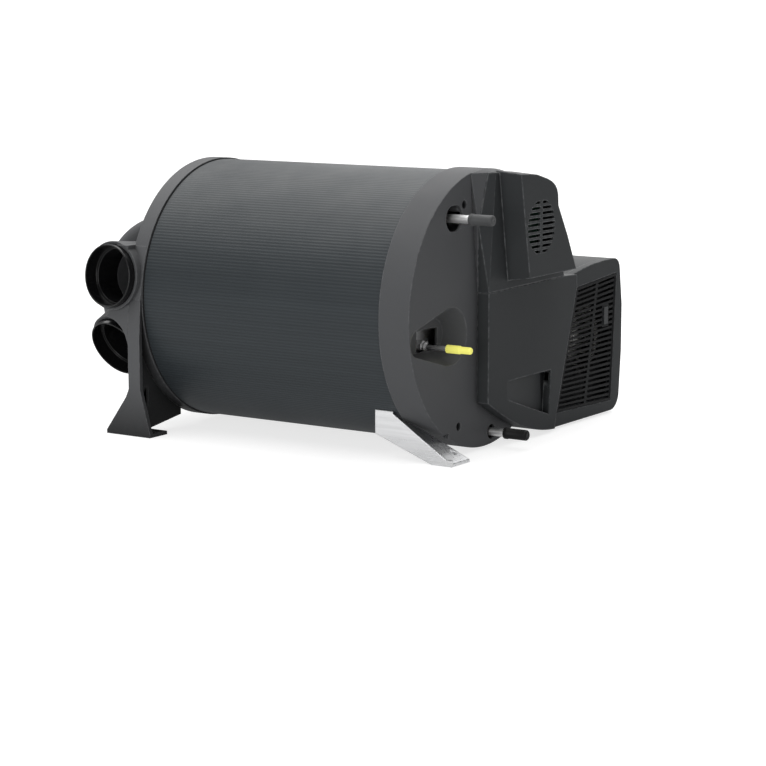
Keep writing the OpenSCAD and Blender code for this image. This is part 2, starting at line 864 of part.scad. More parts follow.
// Elbow that takes the cold water from the low inlet up to the end of the tank
module inlet_elbow() {
    bore = water_pipe_d - 2 * pipe_t;
    color("goldenrod") difference() {
        union() {
            translate([elbow_x0, cold_y - elbow_w / 2, cold_z - elbow_low])
                cube([elbow_x1 - elbow_x0, elbow_w, elbow_in_z - cold_z + elbow_low + elbow_over]);
            bar_x(tank_x1, elbow_x0, water_pipe_d, cold_y, elbow_in_z);
        }
        bar_x(tank_x1 - 1, elbow_x1 - elbow_wall, bore, cold_y, elbow_in_z);
        bar_x(elbow_x0 + elbow_wall, elbow_x1 + 1, bore, cold_y, cold_z);
        translate([(elbow_x0 + elbow_x1) / 2, cold_y, cold_z])
            cylinder(h = elbow_in_z - cold_z, d = bore - 1);
    }
}

module cold_water_pipe() {
    color(silver) difference() {
        bar_x(elbow_x1, cold_end, water_pipe_d, cold_y, cold_z);
        bar_x(elbow_x1 - 1, cold_end + 1, water_pipe_d - 2 * pipe_t, cold_y, cold_z);
    }
}

module cold_pipe_cap() {
    color(face_grey) along_x(cold_end + cap_end_t + cap_gap - water_cap_l, cold_y, cold_z)
        pipe_cap(water_cap_l, water_pipe_d, grip_l);
}

fuel_y = -74;
fuel_z = axis_h - 34;
union_nut_l = 7;
union_l = 10;

module fuel_union() {
    color(silver) difference() {
        union() {
            along_x(flange_x1, fuel_y, fuel_z) cylinder(h = union_nut_l, d = fuel_pipe_d + 8, $fn = 6);
            bar_x(flange_x1, flange_x1 + union_l, fuel_pipe_d + 4, fuel_y, fuel_z);
        }
        bar_x(flange_x1 - 1, flange_x1 + union_l + 1, fuel_pipe_d + 2 * run, fuel_y, fuel_z);
    }
}

module fuel_pipe() {
    color(silver) difference() {
        bar_x(flange_x1, fuel_end, fuel_pipe_d, fuel_y, fuel_z);
        bar_x(flange_x1 - 1, fuel_end + 1, fuel_pipe_d - 2 * pipe_t, fuel_y, fuel_z);
    }
}

module fuel_pipe_cap() {
    color("#f2ea6a") along_x(fuel_end + cap_end_t + cap_gap - fuel_cap_l, fuel_y, fuel_z)
        pipe_cap(fuel_cap_l, fuel_pipe_d, fuel_grip_l);
}

// Front bracket

bracket_x0 = x_front0 - 32;
bracket_x1 = x_front0 - 10;
toe_x0 = x_face + 1;
toe_x1 = x_face + 25;
toe_h = 7;
toe_w = 36;
bracket_drop = 3;
bracket_side = 23;
bracket_top = axis_h - sqrt(jacket_r * jacket_r - bracket_y * bracket_y) - bracket_drop;
bracket_run = toe_x1 - toe_h - bracket_x1;
bracket_slope = atan2(bracket_top - toe_h, bracket_run);
slope_l = norm([bracket_run, bracket_top - toe_h]) + bracket_t;
bracket_hole = [toe_x0 + 11, -bracket_y + 24];
hole_ring_w = 3;

module bracket_plate() {
    slab_y(-bracket_y, -bracket_y + bracket_t)
        polygon([[bracket_x0, bracket_top - bracket_side], [bracket_x0, bracket_top],
            [bracket_x1, bracket_top], [toe_x1 - toe_h, toe_h], [toe_x1, toe_h], [toe_x1, 0], [toe_x0, 0]]);
}

// Flange bent along the sloping edge, which widens towards the toe
module slope_flange() {
    polygon([[0, 0], [slope_l, 0], [slope_l, toe_w], [slope_l * 0.78, toe_w * 5 / 6],
        [slope_l * 0.38, toe_w / 2], [4, bracket_t]]);
}

module front_bracket() {
    color(silver) difference() {
        union() {
            difference() {
                union() {
                    bracket_plate();
                    translate([bracket_x1, 0, bracket_top]) rotate([0, bracket_slope, 0])
                        translate([4, -bracket_y, -bracket_t]) linear_extrude(bracket_t) slope_flange();
                }
                bar_x(x_front0 - 60, x_front0, jacket_d + 2 * fit);
                bar_x(x_front0 - 1, x_face + fit, front_rim_d + 2 * fit);
                translate([x_front0, -bracket_y - 1, -20]) cube([2 * slope_l, toe_w + 2, 20]);
            }
            translate([toe_x0, -bracket_y, 0]) cube([toe_x1 - toe_x0, toe_w, bracket_t]);
            translate([bracket_hole[0], bracket_hole[1], 0])
                cylinder(h = bracket_t + 1, d = bracket_hole_d + 2 * hole_ring_w);
            along_x(bracket_x0) saddle();
        }
        translate([bracket_hole[0], bracket_hole[1], -1]) cylinder(h = 40, d = bracket_hole_d);
    }
}

// The curved pad under the drum that carries the bracket
module saddle() {
    difference() {
        intersection() {
            cylinder(h = bracket_x1 - bracket_x0, r = jacket_r + fit + bracket_t);
            translate([0, -bracket_y, 0]) cube([jacket_r + 10, 40, bracket_x1 - bracket_x0]);
        }
        translate([0, 0, -1]) cylinder(h = bracket_x1 - bracket_x0 + 2, r = jacket_r + fit);
    }
}

pad_angle = 36;
pad_screw_h = 2.4;

module bracket_screws() {
    color(silver) for (x = [bracket_x0 + 6, bracket_x1 - 6])
        translate([x, 0, axis_h]) rotate([180 - pad_angle, 0, 0])
            translate([0, 0, jacket_r + fit + bracket_t]) cylinder(h = pad_screw_h, d = 8);
}

// Covers on the burner end

panel_left = -16;
seam_z0 = axis_h + 18.5;
seam_z1 = axis_h + 21;
panel_low = 99;
crease_y = 138;
crease = [[126, fan_bottom - 10], [131, 19], [175, fan_top - 23], [174, fan_top + 5]];
cold_clear = 18.5;
fan_step = 5;
x_fan = x_panel - fan_step;
fan_side_low = 20;
fan_edge = 14;
fan_fall = 9;

// Lower outline of the cover, falling in a shallow curve past the cold pipe to the fan box's bottom
function under(y) = fan_bottom
    + (cold_z + cold_clear - fan_bottom) * pow((crease_y - y) / (crease_y - cold_y), 2);

// Outline of the whole main cover in Y and Z, drawn in by a gap
function cover_outline(gap, top) = concat(
    [[panel_left + gap, top + seam_z0], [panel_left + gap, axis_h - panel_low + gap / 2]],
    [for (i = [0:16]) let (y = mix(cold_y - 1, crease_y, i / 16)) [y + gap / 4, under(y) + gap]],
    arc([fan_reach - fan_side_low - 4, fan_bottom + fan_side_low], fan_side_low - gap, -90, -10, 12),
    [[fan_reach - gap, axis_h - 80], [fan_reach - gap, axis_h - 26]],
    arc([fan_reach - fan_edge - 6, fan_top - fan_edge], fan_edge - gap, 6, 90, 12),
    [for (t = [0:0.125:1]) [mix(fan_reach - 30, crease[2][0], t), fan_top - fan_fall * t * t - gap]],
    [[front_rim_r, seam_z1 - gap], [front_rim_r - 1, top + seam_z1]]);

// The part of the outline on the fan's side of the crease
function fan_front(gap) = concat([for (p = crease) p + [gap, 0]],
    [[fan_reach + 5, crease[3][1]], [fan_reach + 5, crease[0][1]]]);

grille_corners = [crease[1] + [5, 0], [fan_reach - 24, 15], [fan_reach - 14, fan_top - 17],
    crease[2] + [6, -2]];
grille_t = 3;
grille_ledge = 4;
ledge_t = 2.5;
latch_at = [fan_reach - 40, axis_h - 35];
latch_frame = 3;
latch_size = [9, 20];

function grille_outline(gap) = [grille_corners[0] + [gap * 1.4, gap], grille_corners[1] + [-gap, gap],
    grille_corners[2] + [-gap, -gap], grille_corners[3] + [gap * 0.6, -gap]];

scoop_y0 = 14;
scoop_y1 = 118;
scoop_top = axis_h - 80;
scoop_low = [22, 54];
scoop_deep = 9;
scoop_slot_in = 3;

// Scoop in the main panel, whose floor falls away to the right
module scoop(gap) {
    translate([0, 0, scoop_low[0] - 2 - gap]) linear_extrude(scoop_top - scoop_low[0] + 2 + 2 * gap)
        polygon([[x_panel + 1 - gap, scoop_y0 - 2], [x_panel - scoop_deep - gap, scoop_y1 + gap],
            [x_panel + 1 - gap, scoop_y1 + gap]]);
}

module scoop_window(gap) {
    slab_x(x_face, x_panel + 2) polygon([[scoop_y0 - gap, scoop_top + gap],
        [scoop_y1 + gap, scoop_top + gap], [scoop_y1 - 4 + gap, scoop_low[0] - gap],
        [scoop_y0 - gap, scoop_low[1] - gap]]);
}

// Slot in the scoop's deep end, which lets air in behind the panel
module scoop_slot() {
    translate([x_panel - scoop_deep, scoop_y1 - 1, scoop_low[0] + 2 * scoop_slot_in])
        cube([scoop_deep - scoop_slot_in, cover_t + 3, scoop_top - scoop_low[0] - 3 * scoop_slot_in]);
}

module main_cover() {
    color(cover_grey) difference() {
        union() {
            difference() {
                slab_x(x_face, x_panel) polygon(cover_outline(0, 0));
                slab_x(x_face - 1, x_panel - cover_t) polygon(cover_outline(cover_t, 5));
            }
            intersection() {
                scoop(cover_t);
                scoop_window(cover_t);
            }
            slab_x(x_fan - grille_t - fit - ledge_t, x_panel - 0.5) intersection() {
                polygon(cover_outline(0.5, 0));
                polygon(fan_front(-cover_t));
            }
        }
        slab_x(x_fan, x_panel + 1) polygon(fan_front(0));
        intersection() {
            scoop(0);
            scoop_window(0);
        }
        scoop_slot();
        slab_x(x_fan - grille_t - fit, x_panel + 1) polygon(grille_outline(0));
        slab_x(x_face - 1, x_panel + 1) polygon(grille_outline(grille_ledge));
    }
}

// Slots of the intake grille: two columns of level rows between the slanted sides
module grille_slots() {
    margin = 5;
    rib = 5;
    for (i = [0:grille_rows - 1]) {
        t = (i + 0.8) / (grille_rows + 0.6);
        a = mix(grille_corners[0], grille_corners[3], t) + [margin + 2, 0];
        b = mix(grille_corners[1], grille_corners[2], t) - [margin, 0];
        m = mix(a, b, 0.52);
        h = [0, grille_slot / 2];
        polygon([a - h, m - [rib / 2, 0] - h, m - [rib / 2, 0] + h, a + h]);
        polygon([m + [rib / 2, 0] - h, b - h, b + h, m + [rib / 2, 0] + h]);
    }
}

module latch_shape(gap) {
    translate(latch_at - latch_size / 2 - [gap, gap]) square(latch_size + 2 * [gap, gap]);
}

module intake_grille() {
    color(black) slab_x(x_fan - grille_t, x_fan) difference() {
        polygon(grille_outline(fit));
        difference() {
            grille_slots();
            latch_shape(latch_frame);
        }
        latch_shape(fit);
    }
}

module grille_latch() {
    color(face_grey) slab_x(x_fan - grille_t, x_fan + 1) latch_shape(0);
}

// Electronics cover

frame_rise = 9;
ecover_left_top = -31;

function cover_round(r, y0, y1, n = 36) = arc([0, axis_h], r, acos(y0 / r), acos(y1 / r), n);

function ecover_outline(gap, top_left, r) = concat(
    [[panel_left + gap, seam_z0 + fit + gap]],
    cover_round(r - gap, top_left + gap, r * 0.985 - gap),
    [[front_rim_r - 3 - gap, seam_z1 + fit + gap]]);

// Lower and upper part of the electronics block at its front and at its back, about the drum's axis
block_front = [[[24, 32], [124, 33], [104, 71], [83, 105], [10.8, 105]],
    [[11, 104], [83, 104], [82, 117], [79.5, 123], [75, 128], [68, 132], [58, 135.5], [36, 141], [4, 143]]];
block_back = [[[22, 28], [132, 29], [110, 71], [88, 105], [9.6, 105]],
    [[9.8, 104], [88, 104], [86, 118], [83, 124], [77.5, 128.5], [70, 132.5], [60, 136], [36, 143], [3, 146]]];
block_mid = [50, 85];
block_inset = 1.6;

// Outline of a part of the block, drawn in towards its middle
function block_part(points, gap) = [for (p = points) let (d = p - block_mid)
    [0, axis_h] + p - gap * block_inset * d / norm(d)];

module ecover_solid(gap, back) {
    hull() {
        slab_x(x_face - back, x_face - back + 0.1)
            polygon(ecover_outline(gap, ecover_left_top, front_rim_r));
        slab_x(x_panel - gap - 0.1, x_panel - gap) polygon(ecover_outline(gap, -4, front_rim_r - 4));
    }
}

module block_solid(gap) {
    for (i = [0, 1]) hull() {
        slab_x(x_panel - cover_t - 1, x_panel - cover_t - 0.9) polygon(block_part(block_back[i], gap));
        slab_x(x_block - gap - 0.1, x_block - gap) polygon(block_part(block_front[i], gap));
    }
}

// Everything behind the slanted seam between the frame and the electronics cover
module frame_zone() {
    slab_y(-front_rim_d, front_rim_d) polygon([[x_face - 5, seam_z0 - 5], [x_face + 1, seam_z0 - 5],
        [x_face + 1, seam_z0 + 2], [x_face + 1 + frame_rise, axis_h + front_rim_r + 2],
        [x_face - 5, axis_h + front_rim_r + 2]]);
}

module cover_frame() {
    color(face_grey) intersection() {
        difference() {
            ecover_solid(0, 0);
            ecover_solid(cover_t, 1);
        }
        frame_zone();
    }
}

vent_y = 47;
vent_z = axis_h + 85;
vent_rows = 10;
vent_slot = 2.8;
vent_rib = 4;
board_t = 1.6;
board_x = x_block - cover_t - 14;
board_y0 = 30;
board_y1 = 74;
board_z0 = axis_h + 44;
board_z1 = axis_h + 114;
board_holes = [for (y = [board_y0 + 5, board_y1 - 5], z = [board_z0 + 5, board_z1 - 5]) [y, z]];

module vent_slots() {
    pitch = vent_d / vent_rows;
    intersection() {
        translate([vent_y, vent_z]) circle(d = vent_d);
        for (i = [0:vent_rows - 1], s = [-1, 1])
            translate([vent_y + s * (vent_d / 4 + vent_rib / 2), vent_z + (i - (vent_rows - 1) / 2) * pitch])
                square([vent_d / 2, vent_slot], center = true);
    }
}

module electronics_cover() {
    color(cover_grey) {
        difference() {
            union() {
                ecover_solid(0, 0);
                block_solid(0);
            }
            ecover_solid(cover_t, 1);
            block_solid(cover_t);
            frame_zone();
            slab_x(x_block - cover_t - 2, x_block + 1) vent_slots();
        }
        for (p = board_holes) difference() {
            bar_x(board_x + board_t, x_block - cover_t, 7, p[0], p[1]);
            bar_x(board_x + board_t - 1, board_x + board_t + 9, 2.5, p[0], p[1]);
        }
    }
}

module control_board() {
    color("darkgreen") difference() {
        translate([board_x, board_y0, board_z0]) cube([board_t, board_y1 - board_y0, board_z1 - board_z0]);
        for (p = board_holes) bar_x(board_x - 1, board_x + board_t + 1, 3, p[0], p[1]);
    }
}

module board_screws() {
    color(silver) for (p = board_holes) {
        bar_x(board_x - 2, board_x, 5, p[0], p[1]);
        bar_x(board_x, board_x + board_t + 6, 2.3, p[0], p[1]);
    }
}

module board_parts() {
    color("dimgray") {
        for (i = [0:2]) translate([board_x - 9, board_y0 + 4 + i * 13, board_z0 + 12]) cube([9, 10, 14]);
        bar_x(board_x - 12, board_x, 12, board_y0 + 14, board_z0 + 42);
        bar_x(board_x - 12, board_x, 12, board_y0 + 30, board_z0 + 42);
    }
}

module connector_block() {
    color(black) difference() {
        translate([board_x - 11, board_y0 + 6, board_z1 - 20]) cube([11, 30, 11]);
        for (i = [0:3]) translate([board_x - 12, board_y0 + 8 + i * 7, board_z1 - 18]) cube([8, 5, 7]);
    }
}

// Fan box

fan_gap = 1;
fan_x0 = x_face - fan_box_l;
fan_y = fan_reach - 71;
fan_z = axis_h - 59;
ring_x1 = x_face - 1;
ring_t = 3;
ring_bore = fan_d - 24;
wheel_x1 = ring_x1 - ring_t - 2;
motor_x0 = fan_x0 + cover_t;
fan_motor_d = 58;
wheel_plate = 2.5;

module fan_area(gap) {
    difference() {
        polygon(cover_outline(gap, 0));
        translate([0, axis_h]) circle(r = max(front_rim_r, jacket_r) + fan_gap + gap);
        translate([panel_left - 10, 0]) square([-panel_left + 60, 3 * axis_h]);
    }
}

module fan_housing() {
    color(cover_grey) difference() {
        slab_x(fan_x0, x_face) fan_area(0);
        slab_x(fan_x0 + cover_t, x_face + 1) fan_area(cover_t);
        bar_x(fan_x0 - 1, fan_x0 + cover_t + 1, 12, fan_y, fan_z);
        air_window();
    }
}

module inlet_ring() {
    color(black) difference() {
        slab_x(ring_x1 - ring_t, ring_x1) fan_area(cover_t);
        bar_x(ring_x1 - ring_t - 1, ring_x1 + 1, ring_bore, fan_y, fan_z);
    }
}

fan_motor_l = wheel_x1 - fan_l - 1.5 - motor_x0;

module circulation_motor() {
    color("dimgray") difference() {
        bar_x(motor_x0, motor_x0 + fan_motor_l, fan_motor_d, fan_y, fan_z);
        bar_x(motor_x0 + 4, motor_x0 + fan_motor_l + 1, fan_shaft_d + 2 * run, fan_y, fan_z);
    }
}

module circulation_shaft() {
    color(silver) bar_x(motor_x0 + 4.5, wheel_x1 - fan_l * 0.3, fan_shaft_d, fan_y, fan_z);
}

module circulation_fan() {
    color("gainsboro") along_x(wheel_x1 - fan_l, fan_y, fan_z)
        fan_wheel(fan_d, fan_l, fan_shaft_d, fan_blades, wheel_plate, 18, 35);
}

rear_cap();
near_foot();
far_foot();
upper_near_outlet();
lower_near_outlet();
upper_far_outlet();
lower_far_outlet();
rear_seal();
jacket();
front_seal();
front_cap();
front_cap_screws();
front_bracket();
bracket_screws();
main_cover();
cover_frame();
electronics_cover();
fan_housing();
intake_grille();
grille_latch();
inlet_ring();
circulation_motor();
circulation_shaft();
circulation_fan();
hot_water_pipe();
hot_pipe_cap();
inlet_elbow();
cold_water_pipe();
cold_pipe_cap();
fuel_pipe();
fuel_union();
fuel_pipe_cap();
upper_insulation();
lower_insulation();
water_tank();
heat_exchanger();
burner_gasket();
burner_flange();
burner_bolts();
combustion_tube();
burner_head();
glow_plug();
overheat_switch();
blower_housing();
blower_motor();
blower_shaft();
blower_wheel();
exhaust_pipe();
exhaust_grommet();
combustion_air_pipe();
air_grommet();
control_board();
board_parts();
connector_block();
board_screws();
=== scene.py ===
"""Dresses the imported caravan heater: jacket, duct outlets, pipe caps, screws, finishes and the studio."""
import json
import math

import bmesh
import bpy
import numpy as np
from bpy.props import FloatProperty, FloatVectorProperty, IntProperty, PointerProperty
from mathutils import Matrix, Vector


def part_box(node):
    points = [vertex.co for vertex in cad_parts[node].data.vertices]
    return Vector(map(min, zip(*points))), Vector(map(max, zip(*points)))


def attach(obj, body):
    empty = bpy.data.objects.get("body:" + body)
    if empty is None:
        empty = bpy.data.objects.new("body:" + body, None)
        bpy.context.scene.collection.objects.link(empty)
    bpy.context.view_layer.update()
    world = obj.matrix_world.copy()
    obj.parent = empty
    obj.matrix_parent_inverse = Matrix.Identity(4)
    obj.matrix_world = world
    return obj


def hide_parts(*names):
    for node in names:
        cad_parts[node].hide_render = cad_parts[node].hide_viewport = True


bl_info = {
    "name": "Caravan Heater Dressing",
    "version": (1, 0, 0),
    "blender": (4, 5, 0),
    "location": "View3D > Sidebar > Heater",
    "description": "Adds the finishes, the turned pieces and the studio to a caravan air and water heater",
    "category": "Object",
}

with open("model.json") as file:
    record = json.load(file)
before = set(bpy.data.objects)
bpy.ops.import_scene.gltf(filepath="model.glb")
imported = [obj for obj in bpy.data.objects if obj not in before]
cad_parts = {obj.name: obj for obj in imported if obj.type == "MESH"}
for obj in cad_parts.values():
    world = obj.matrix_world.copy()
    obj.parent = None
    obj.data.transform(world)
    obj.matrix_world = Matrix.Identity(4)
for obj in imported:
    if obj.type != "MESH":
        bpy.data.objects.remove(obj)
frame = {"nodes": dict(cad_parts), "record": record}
NODES = frame["nodes"]
MOUNTS = {m["name"]: m for m in frame["record"]["mounts"]}
OPENINGS = {o["name"]: np.array(o["box_m"]) for o in frame["record"]["physics"]["openings"]}
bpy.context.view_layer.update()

# Fixed measures of the made pieces: metres, degrees, shares and counts of points

MERGE = 1e-7

# Jacket: points and shape of a flute, softened ends, rows near the ends
FLUTE_POINTS = 8
FLUTE_POWER = 0.7
JACKET_SOFT = 0.0006
JACKET_SOFT_SHARE = 0.55
JACKET_ROW = 0.1

# Side skins: rim over its seal, its lip and the lip's run, edges in X, blend from leg to rim, arcs round outlets
RIM_RISE = 0.002
RIM_LIP = 0.0022
LIP_RUN = 0.03
LEG_EDGE = 0.0012
RIM_EDGE = 0.0175
LEG_BLEND = 0.044
LOWER_ARC = (8, 84, 20)
UPPER_ARC = (-88, 72, 40)
SKIN_COLUMNS = 7

# Gussets: inset from the foot's rear, depth in the leg, and the outline's corners in x and z
GUSSET_INSET = 0.001
GUSSET_DEPTH = 0.0295
GUSSET_FOOT = 0.003
GUSSET_TOP = [[0.0053, 0.003], [0.0053, 0.053], [0.0015, 0.052], [-0.0025, 0.043]]

# Outlets: sides, length of the lip, roundings at the stop ring
OUTLET_SIDES = 128
LIP_LENGTH = 0.004
SEAT_ROUND = 0.0006
STOP_ROUND = 0.0008

# Pipe caps: sides, edges, closed end, mark of the gate, largest rounding as a share of the tube
CAP_SIDES = 64
CAP_EDGE = 0.0005
CAP_BEVEL = 0.0004
CAP_END = 0.002
GATE_RADIUS = 0.0007
GATE_RIM = 0.0001
GATE_DEPTH = 0.0006
BALL_SHARE = 0.7

# Screws: sides and rings, then shares of the head's radius or height
SCREW_SIDES = 96
CROWN_RINGS = 28
CROWN_START = 0.985
CROWN_EDGE = 0.75
HEAD_SIDE = 0.7
BLADE_SHARE = 0.17
ARM_SHARE = 0.6
SOFT_SHARE = 0.08

# Bead round the grille: corner radius, points of its section, depth sunk in the grille
BEAD_CORNER = 0.004
BEAD_POINTS = 9
BEAD_SINK = 0.0001

# Scoop and the dark sheet of painted shade at its mouth: where the sloping floor starts and how it falls, then
# the wedge past the opening's box
SCOOP_LIFT = 0.001
SCOOP_START = 0.012
SCOOP_FALL = 0.0105 / 0.106
SCOOP_END = 0.0005
MOUTH_ABOVE = 0.0025
MOUTH_BELOW = 0.011
MOUTH_BESIDE = 0.0055
MOUTH_WIDTH = 0.0105
MOUTH_POINT = 0.0046
MOUTH_WALL = 0.0006

# Stage
FLOOR_POINTS = 9
SENSOR_WIDTH = 36.0
FAR_CLIP = 200.0

# Fixed values of the finishes

BEVEL_SAMPLES = 6
SHADE_SAMPLES = 6
SHADE_SPAN = 0.6
# Gain and lift of the paler edges, which stand for wear and for painted highlights
WORN_AND_HIGHLIGHT_GAIN = 2.2
WORN_AND_HIGHLIGHT_LIFT = 0.06
DUST_COLOUR = (0.42, 0.41, 0.39)
DUST_ROUGHNESS = 0.3
GRAIN_STRENGTH = 0.6
LINE_STRENGTH = 0.5
# Strength of the yellow cap's painted glow
YELLOW_GLOW = 0.22
FIBRE = (0.06, 0.06, 0.055)
CERAMIC = (0.7, 0.69, 0.66)
COMPONENT = (0.012, 0.012, 0.013)
EVEN = (1.0, 1.0, 1.0)
WHITE = (1.0, 1.0, 1.0, 1.0)


def node_box(name):
    """Lowest and highest corner of a solid, as arrays."""
    low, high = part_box(name)
    return np.array(low), np.array(high)


def node_points(name):
    """Points of a solid's mesh."""
    mesh = NODES[name].data
    flat = np.empty(len(mesh.vertices) * 3)
    mesh.vertices.foreach_get("co", flat)
    return flat.reshape(-1, 3)


# Settings that a user would change

def tone(label, words, value):
    """A colour setting."""
    return FloatVectorProperty(name=label, description=words, subtype="COLOR", min=0, max=1, default=value)


def length(label, words, value):
    """A length setting in metres."""
    return FloatProperty(name=label, description=words, default=value, min=0, unit="LENGTH", precision=5)


def spot(label, words, value):
    """A place setting in metres."""
    return FloatVectorProperty(name=label, description=words, subtype="TRANSLATION", unit="LENGTH",
                               default=value)


def strength(label, words, value):
    """A setting of brightness."""
    return FloatProperty(name=label, description=words, default=value, min=0)


def power(label, words, value):
    """A setting of a lamp's power."""
    return FloatProperty(name=label, description=words, subtype="POWER", default=value)


class HeaterColours(bpy.types.PropertyGroup):
    """Colours of the heater's finishes"""
    jacket: tone("Jacket", "Slate grey of the fluted jacket", (0.0305, 0.0366, 0.041))
    rear_cap: tone("Rear cap", "Mid grey of the rear moulding", (0.092, 0.094, 0.098))
    face: tone("Front cap", "Dark grey of the front moulding", (0.082, 0.084, 0.088))
    cover: tone("Covers", "Charcoal of the covers", (0.04, 0.0425, 0.0445))
    grille: tone("Grille", "Black-grey of the intake grille", (0.012, 0.0125, 0.0135))
    outlet: tone("Outlets", "Black of the duct outlets", (0.006, 0.006, 0.0065))
    rubber: tone("Rubber", "Black of seals and grommets", (0.012, 0.012, 0.012))
    pipe_cap: tone("Water caps", "Grey of the caps on the water pipes", (0.07, 0.072, 0.074))
    fuel_cap: tone("Fuel cap", "Yellow of the cap on the fuel pipe", (0.97, 0.93, 0.2))
    steel: tone("Steel", "Screws, shafts, motors and tank", (0.72, 0.72, 0.72))
    pipe: tone("Pipes", "Bright metal of the pipes", (0.95, 0.95, 0.95))
    sheet: tone("Bracket", "Aluminium sheet of the front foot", (0.93, 0.935, 0.945))
    casting: tone("Casting", "Cast aluminium of the burner", (0.5, 0.505, 0.51))
    brass: tone("Brass", "Turned brass fittings", (0.6, 0.42, 0.15))
    foam: tone("Foam", "Insulation round the tank", (0.8, 0.8, 0.77))
    board: tone("Board", "Lacquer of the control board", (0.008, 0.035, 0.018))
    wheel: tone("Fans", "Pale plastic of the fan wheels", (0.5, 0.5, 0.48))


class HeaterSizes(bpy.types.PropertyGroup):
    """Sizes of the made pieces and of the shading"""
    flutes: IntProperty(name="Flutes", description="Number of flutes round the jacket", default=258, min=24)
    flute_depth: length("Flute depth", "Depth of a flute", 0.00013)
    jacket_wall: length("Jacket wall", "Wall of the jacket under its flutes", 0.0025)
    outlet_bore: length("Outlet bore", "Radius of an outlet's bore", 0.03275)
    outlet_wall: length("Outlet wall", "Wall of an outlet", 0.00175)
    outlet_depth: length("Outlet depth", "Depth of the bore down to the stop ring", 0.016)
    stop_height: length("Stop height", "Height of the stop ring", 0.00325)
    stop_length: length("Stop length", "Length of the stop ring", 0.003)
    liner_length: length("Liner length", "Length of the liner behind the stop ring", 0.027)
    water_grip: length("Water cap grip", "Length of the thick end of a water cap", 0.004)
    fuel_grip: length("Fuel cap grip", "Length of the thick end of the fuel cap", 0.016)
    cap_wall: length("Cap wall", "Wall of a pipe cap", 0.0012)
    cap_round: length("Cap rounding", "Rounding of a pipe cap's closed end", 0.0026)
    # Crevice, cap shade and leg shade set the reach of the painted shade that darkens corners, slots and the
    # insides of the legs
    crevice: length("Crevice", "Reach of the grime in corners and slots", 0.012)
    cap_shade: length("Cap shade", "Reach of the darkening in corners of the rear cap", 0.05)
    leg_shade: length("Leg shade", "Reach of the grime inside the hollow legs", 0.07)
    skin_wall: length("Skin wall", "Wall of the rear cap's side skins", 0.003)
    skin_gap: length("Skin gap", "Gap between a side skin and an outlet", 0.0006)
    gusset_wall: length("Gusset wall", "Wall of the gussets in the legs", 0.003)
    screw_head: length("Screw head", "Height of a screw's head", 0.003)
    screw_shank: length("Screw shank", "Radius of a screw's shank", 0.002)
    recess_depth: length("Recess depth", "Depth of a screw's cross recess", 0.0017)
    bead_width: length("Bead width", "Width of the bead round the grille", 0.0022)
    bead_height: length("Bead height", "Height of the bead round the grille", 0.0009)
    edge_round: length("Edge rounding", "Radius that softens the edges of mouldings", 0.0013)


class HeaterStage(bpy.types.PropertyGroup):
    """Camera and light"""
    camera: spot("Camera", "Place of the camera", (1.61663, -2.08192, 0.47239))
    target: spot("Target", "Point the camera looks at", (0.2355, 0.0, 0.05924))
    lens: FloatProperty(name="Lens", description="Focal length in millimetres", default=108.69, min=10)
    middle: spot("Middle", "Point the soft boxes face", (0.2, 0.0, 0.15))
    world: strength("Surround", "Strength of the even surrounding light", 0.3)
    backdrop: strength("Backdrop", "Brightness of the backdrop in the picture", 1.2)
    floor: tone("Floor", "Colour of the floor", (0.42, 0.42, 0.42))
    floor_reach: length("Floor reach", "Distance from the heater to the floor's edge", 80.0)
    floor_lift: strength("Floor lift", "White added to the floor in the picture", 0.74)
    floor_glow: strength("Floor glow", "Light that comes up through the floor", 0.3)
    overhead: strength("Overhead light", "Strength of the overhead light", 2.9)
    softness: FloatProperty(name="Softness", description="Angle across the overhead light", subtype="ANGLE",
                            default=math.radians(80))
    overhead_from: FloatVectorProperty(name="Overhead from", description="Direction to the overhead light",
                                       subtype="DIRECTION", default=(-0.3, 0.05, 1.0))
    rear_box: spot("Rear soft box", "Place of the soft box behind the heater", (-0.2, 2.0, 1.5))
    rear_size: length("Rear size", "Side of the rear soft box", 2.4)
    rear_power: power("Rear power", "Power of the rear soft box", 26.0)
    side_box: spot("Side soft box", "Place of the soft box beside the heater", (0.55, -2.2, 0.4))
    side_size: length("Side size", "Side of the side soft box", 1.2)
    side_power: power("Side power", "Power of the side soft box", 15.0)


# Meshes from grids of points

def grid_piece(name, points, wrap_u=False, wrap_v=False, sharp=35.0):
    """A mesh on a grid of points: point [i, j] is the surface at parameters u[i] and v[j], and each cell
    between neighbours is one face. A wrapped parameter joins its last row to its first. Doubles at poles are
    merged. A list of grids of one size makes a piece of several like surfaces."""
    points = points if points.ndim == 4 else points[None]
    count, nu, nv = points.shape[:3]
    i = np.arange(nu if wrap_u else nu - 1)[:, None]
    j = np.arange(nv if wrap_v else nv - 1)[None, :]
    a = i * nv + j
    b = ((i + 1) % nu) * nv + j
    c = ((i + 1) % nu) * nv + (j + 1) % nv
    d = i * nv + (j + 1) % nv
    cells = np.stack([a, b, c, d], axis=-1).reshape(-1, 4)
    faces = (np.arange(count)[:, None, None] * nu * nv + cells[None]).reshape(-1, 4)
    mesh = bpy.data.meshes.new(name)
    mesh.from_pydata(points.reshape(-1, 3).tolist(), [], faces.tolist())
    return finish_mesh(name, mesh, sharp)


def finish_mesh(name, mesh, sharp):
    """Merges doubles, points the faces outwards, shades smoothly up to the sharp angle, links the piece."""
    work = bmesh.new()
    work.from_mesh(mesh)
    bmesh.ops.remove_doubles(work, verts=work.verts, dist=MERGE)
    bmesh.ops.dissolve_degenerate(work, edges=work.edges, dist=MERGE)
    bmesh.ops.recalc_face_normals(work, faces=work.faces)
    work.to_mesh(mesh)
    work.free()
    mesh.polygons.foreach_set("use_smooth", np.ones(len(mesh.polygons), bool))
    mesh.set_sharp_from_angle(angle=math.radians(sharp))
    piece = bpy.data.objects.new(name, mesh)
    bpy.context.scene.collection.objects.link(piece)
    return piece


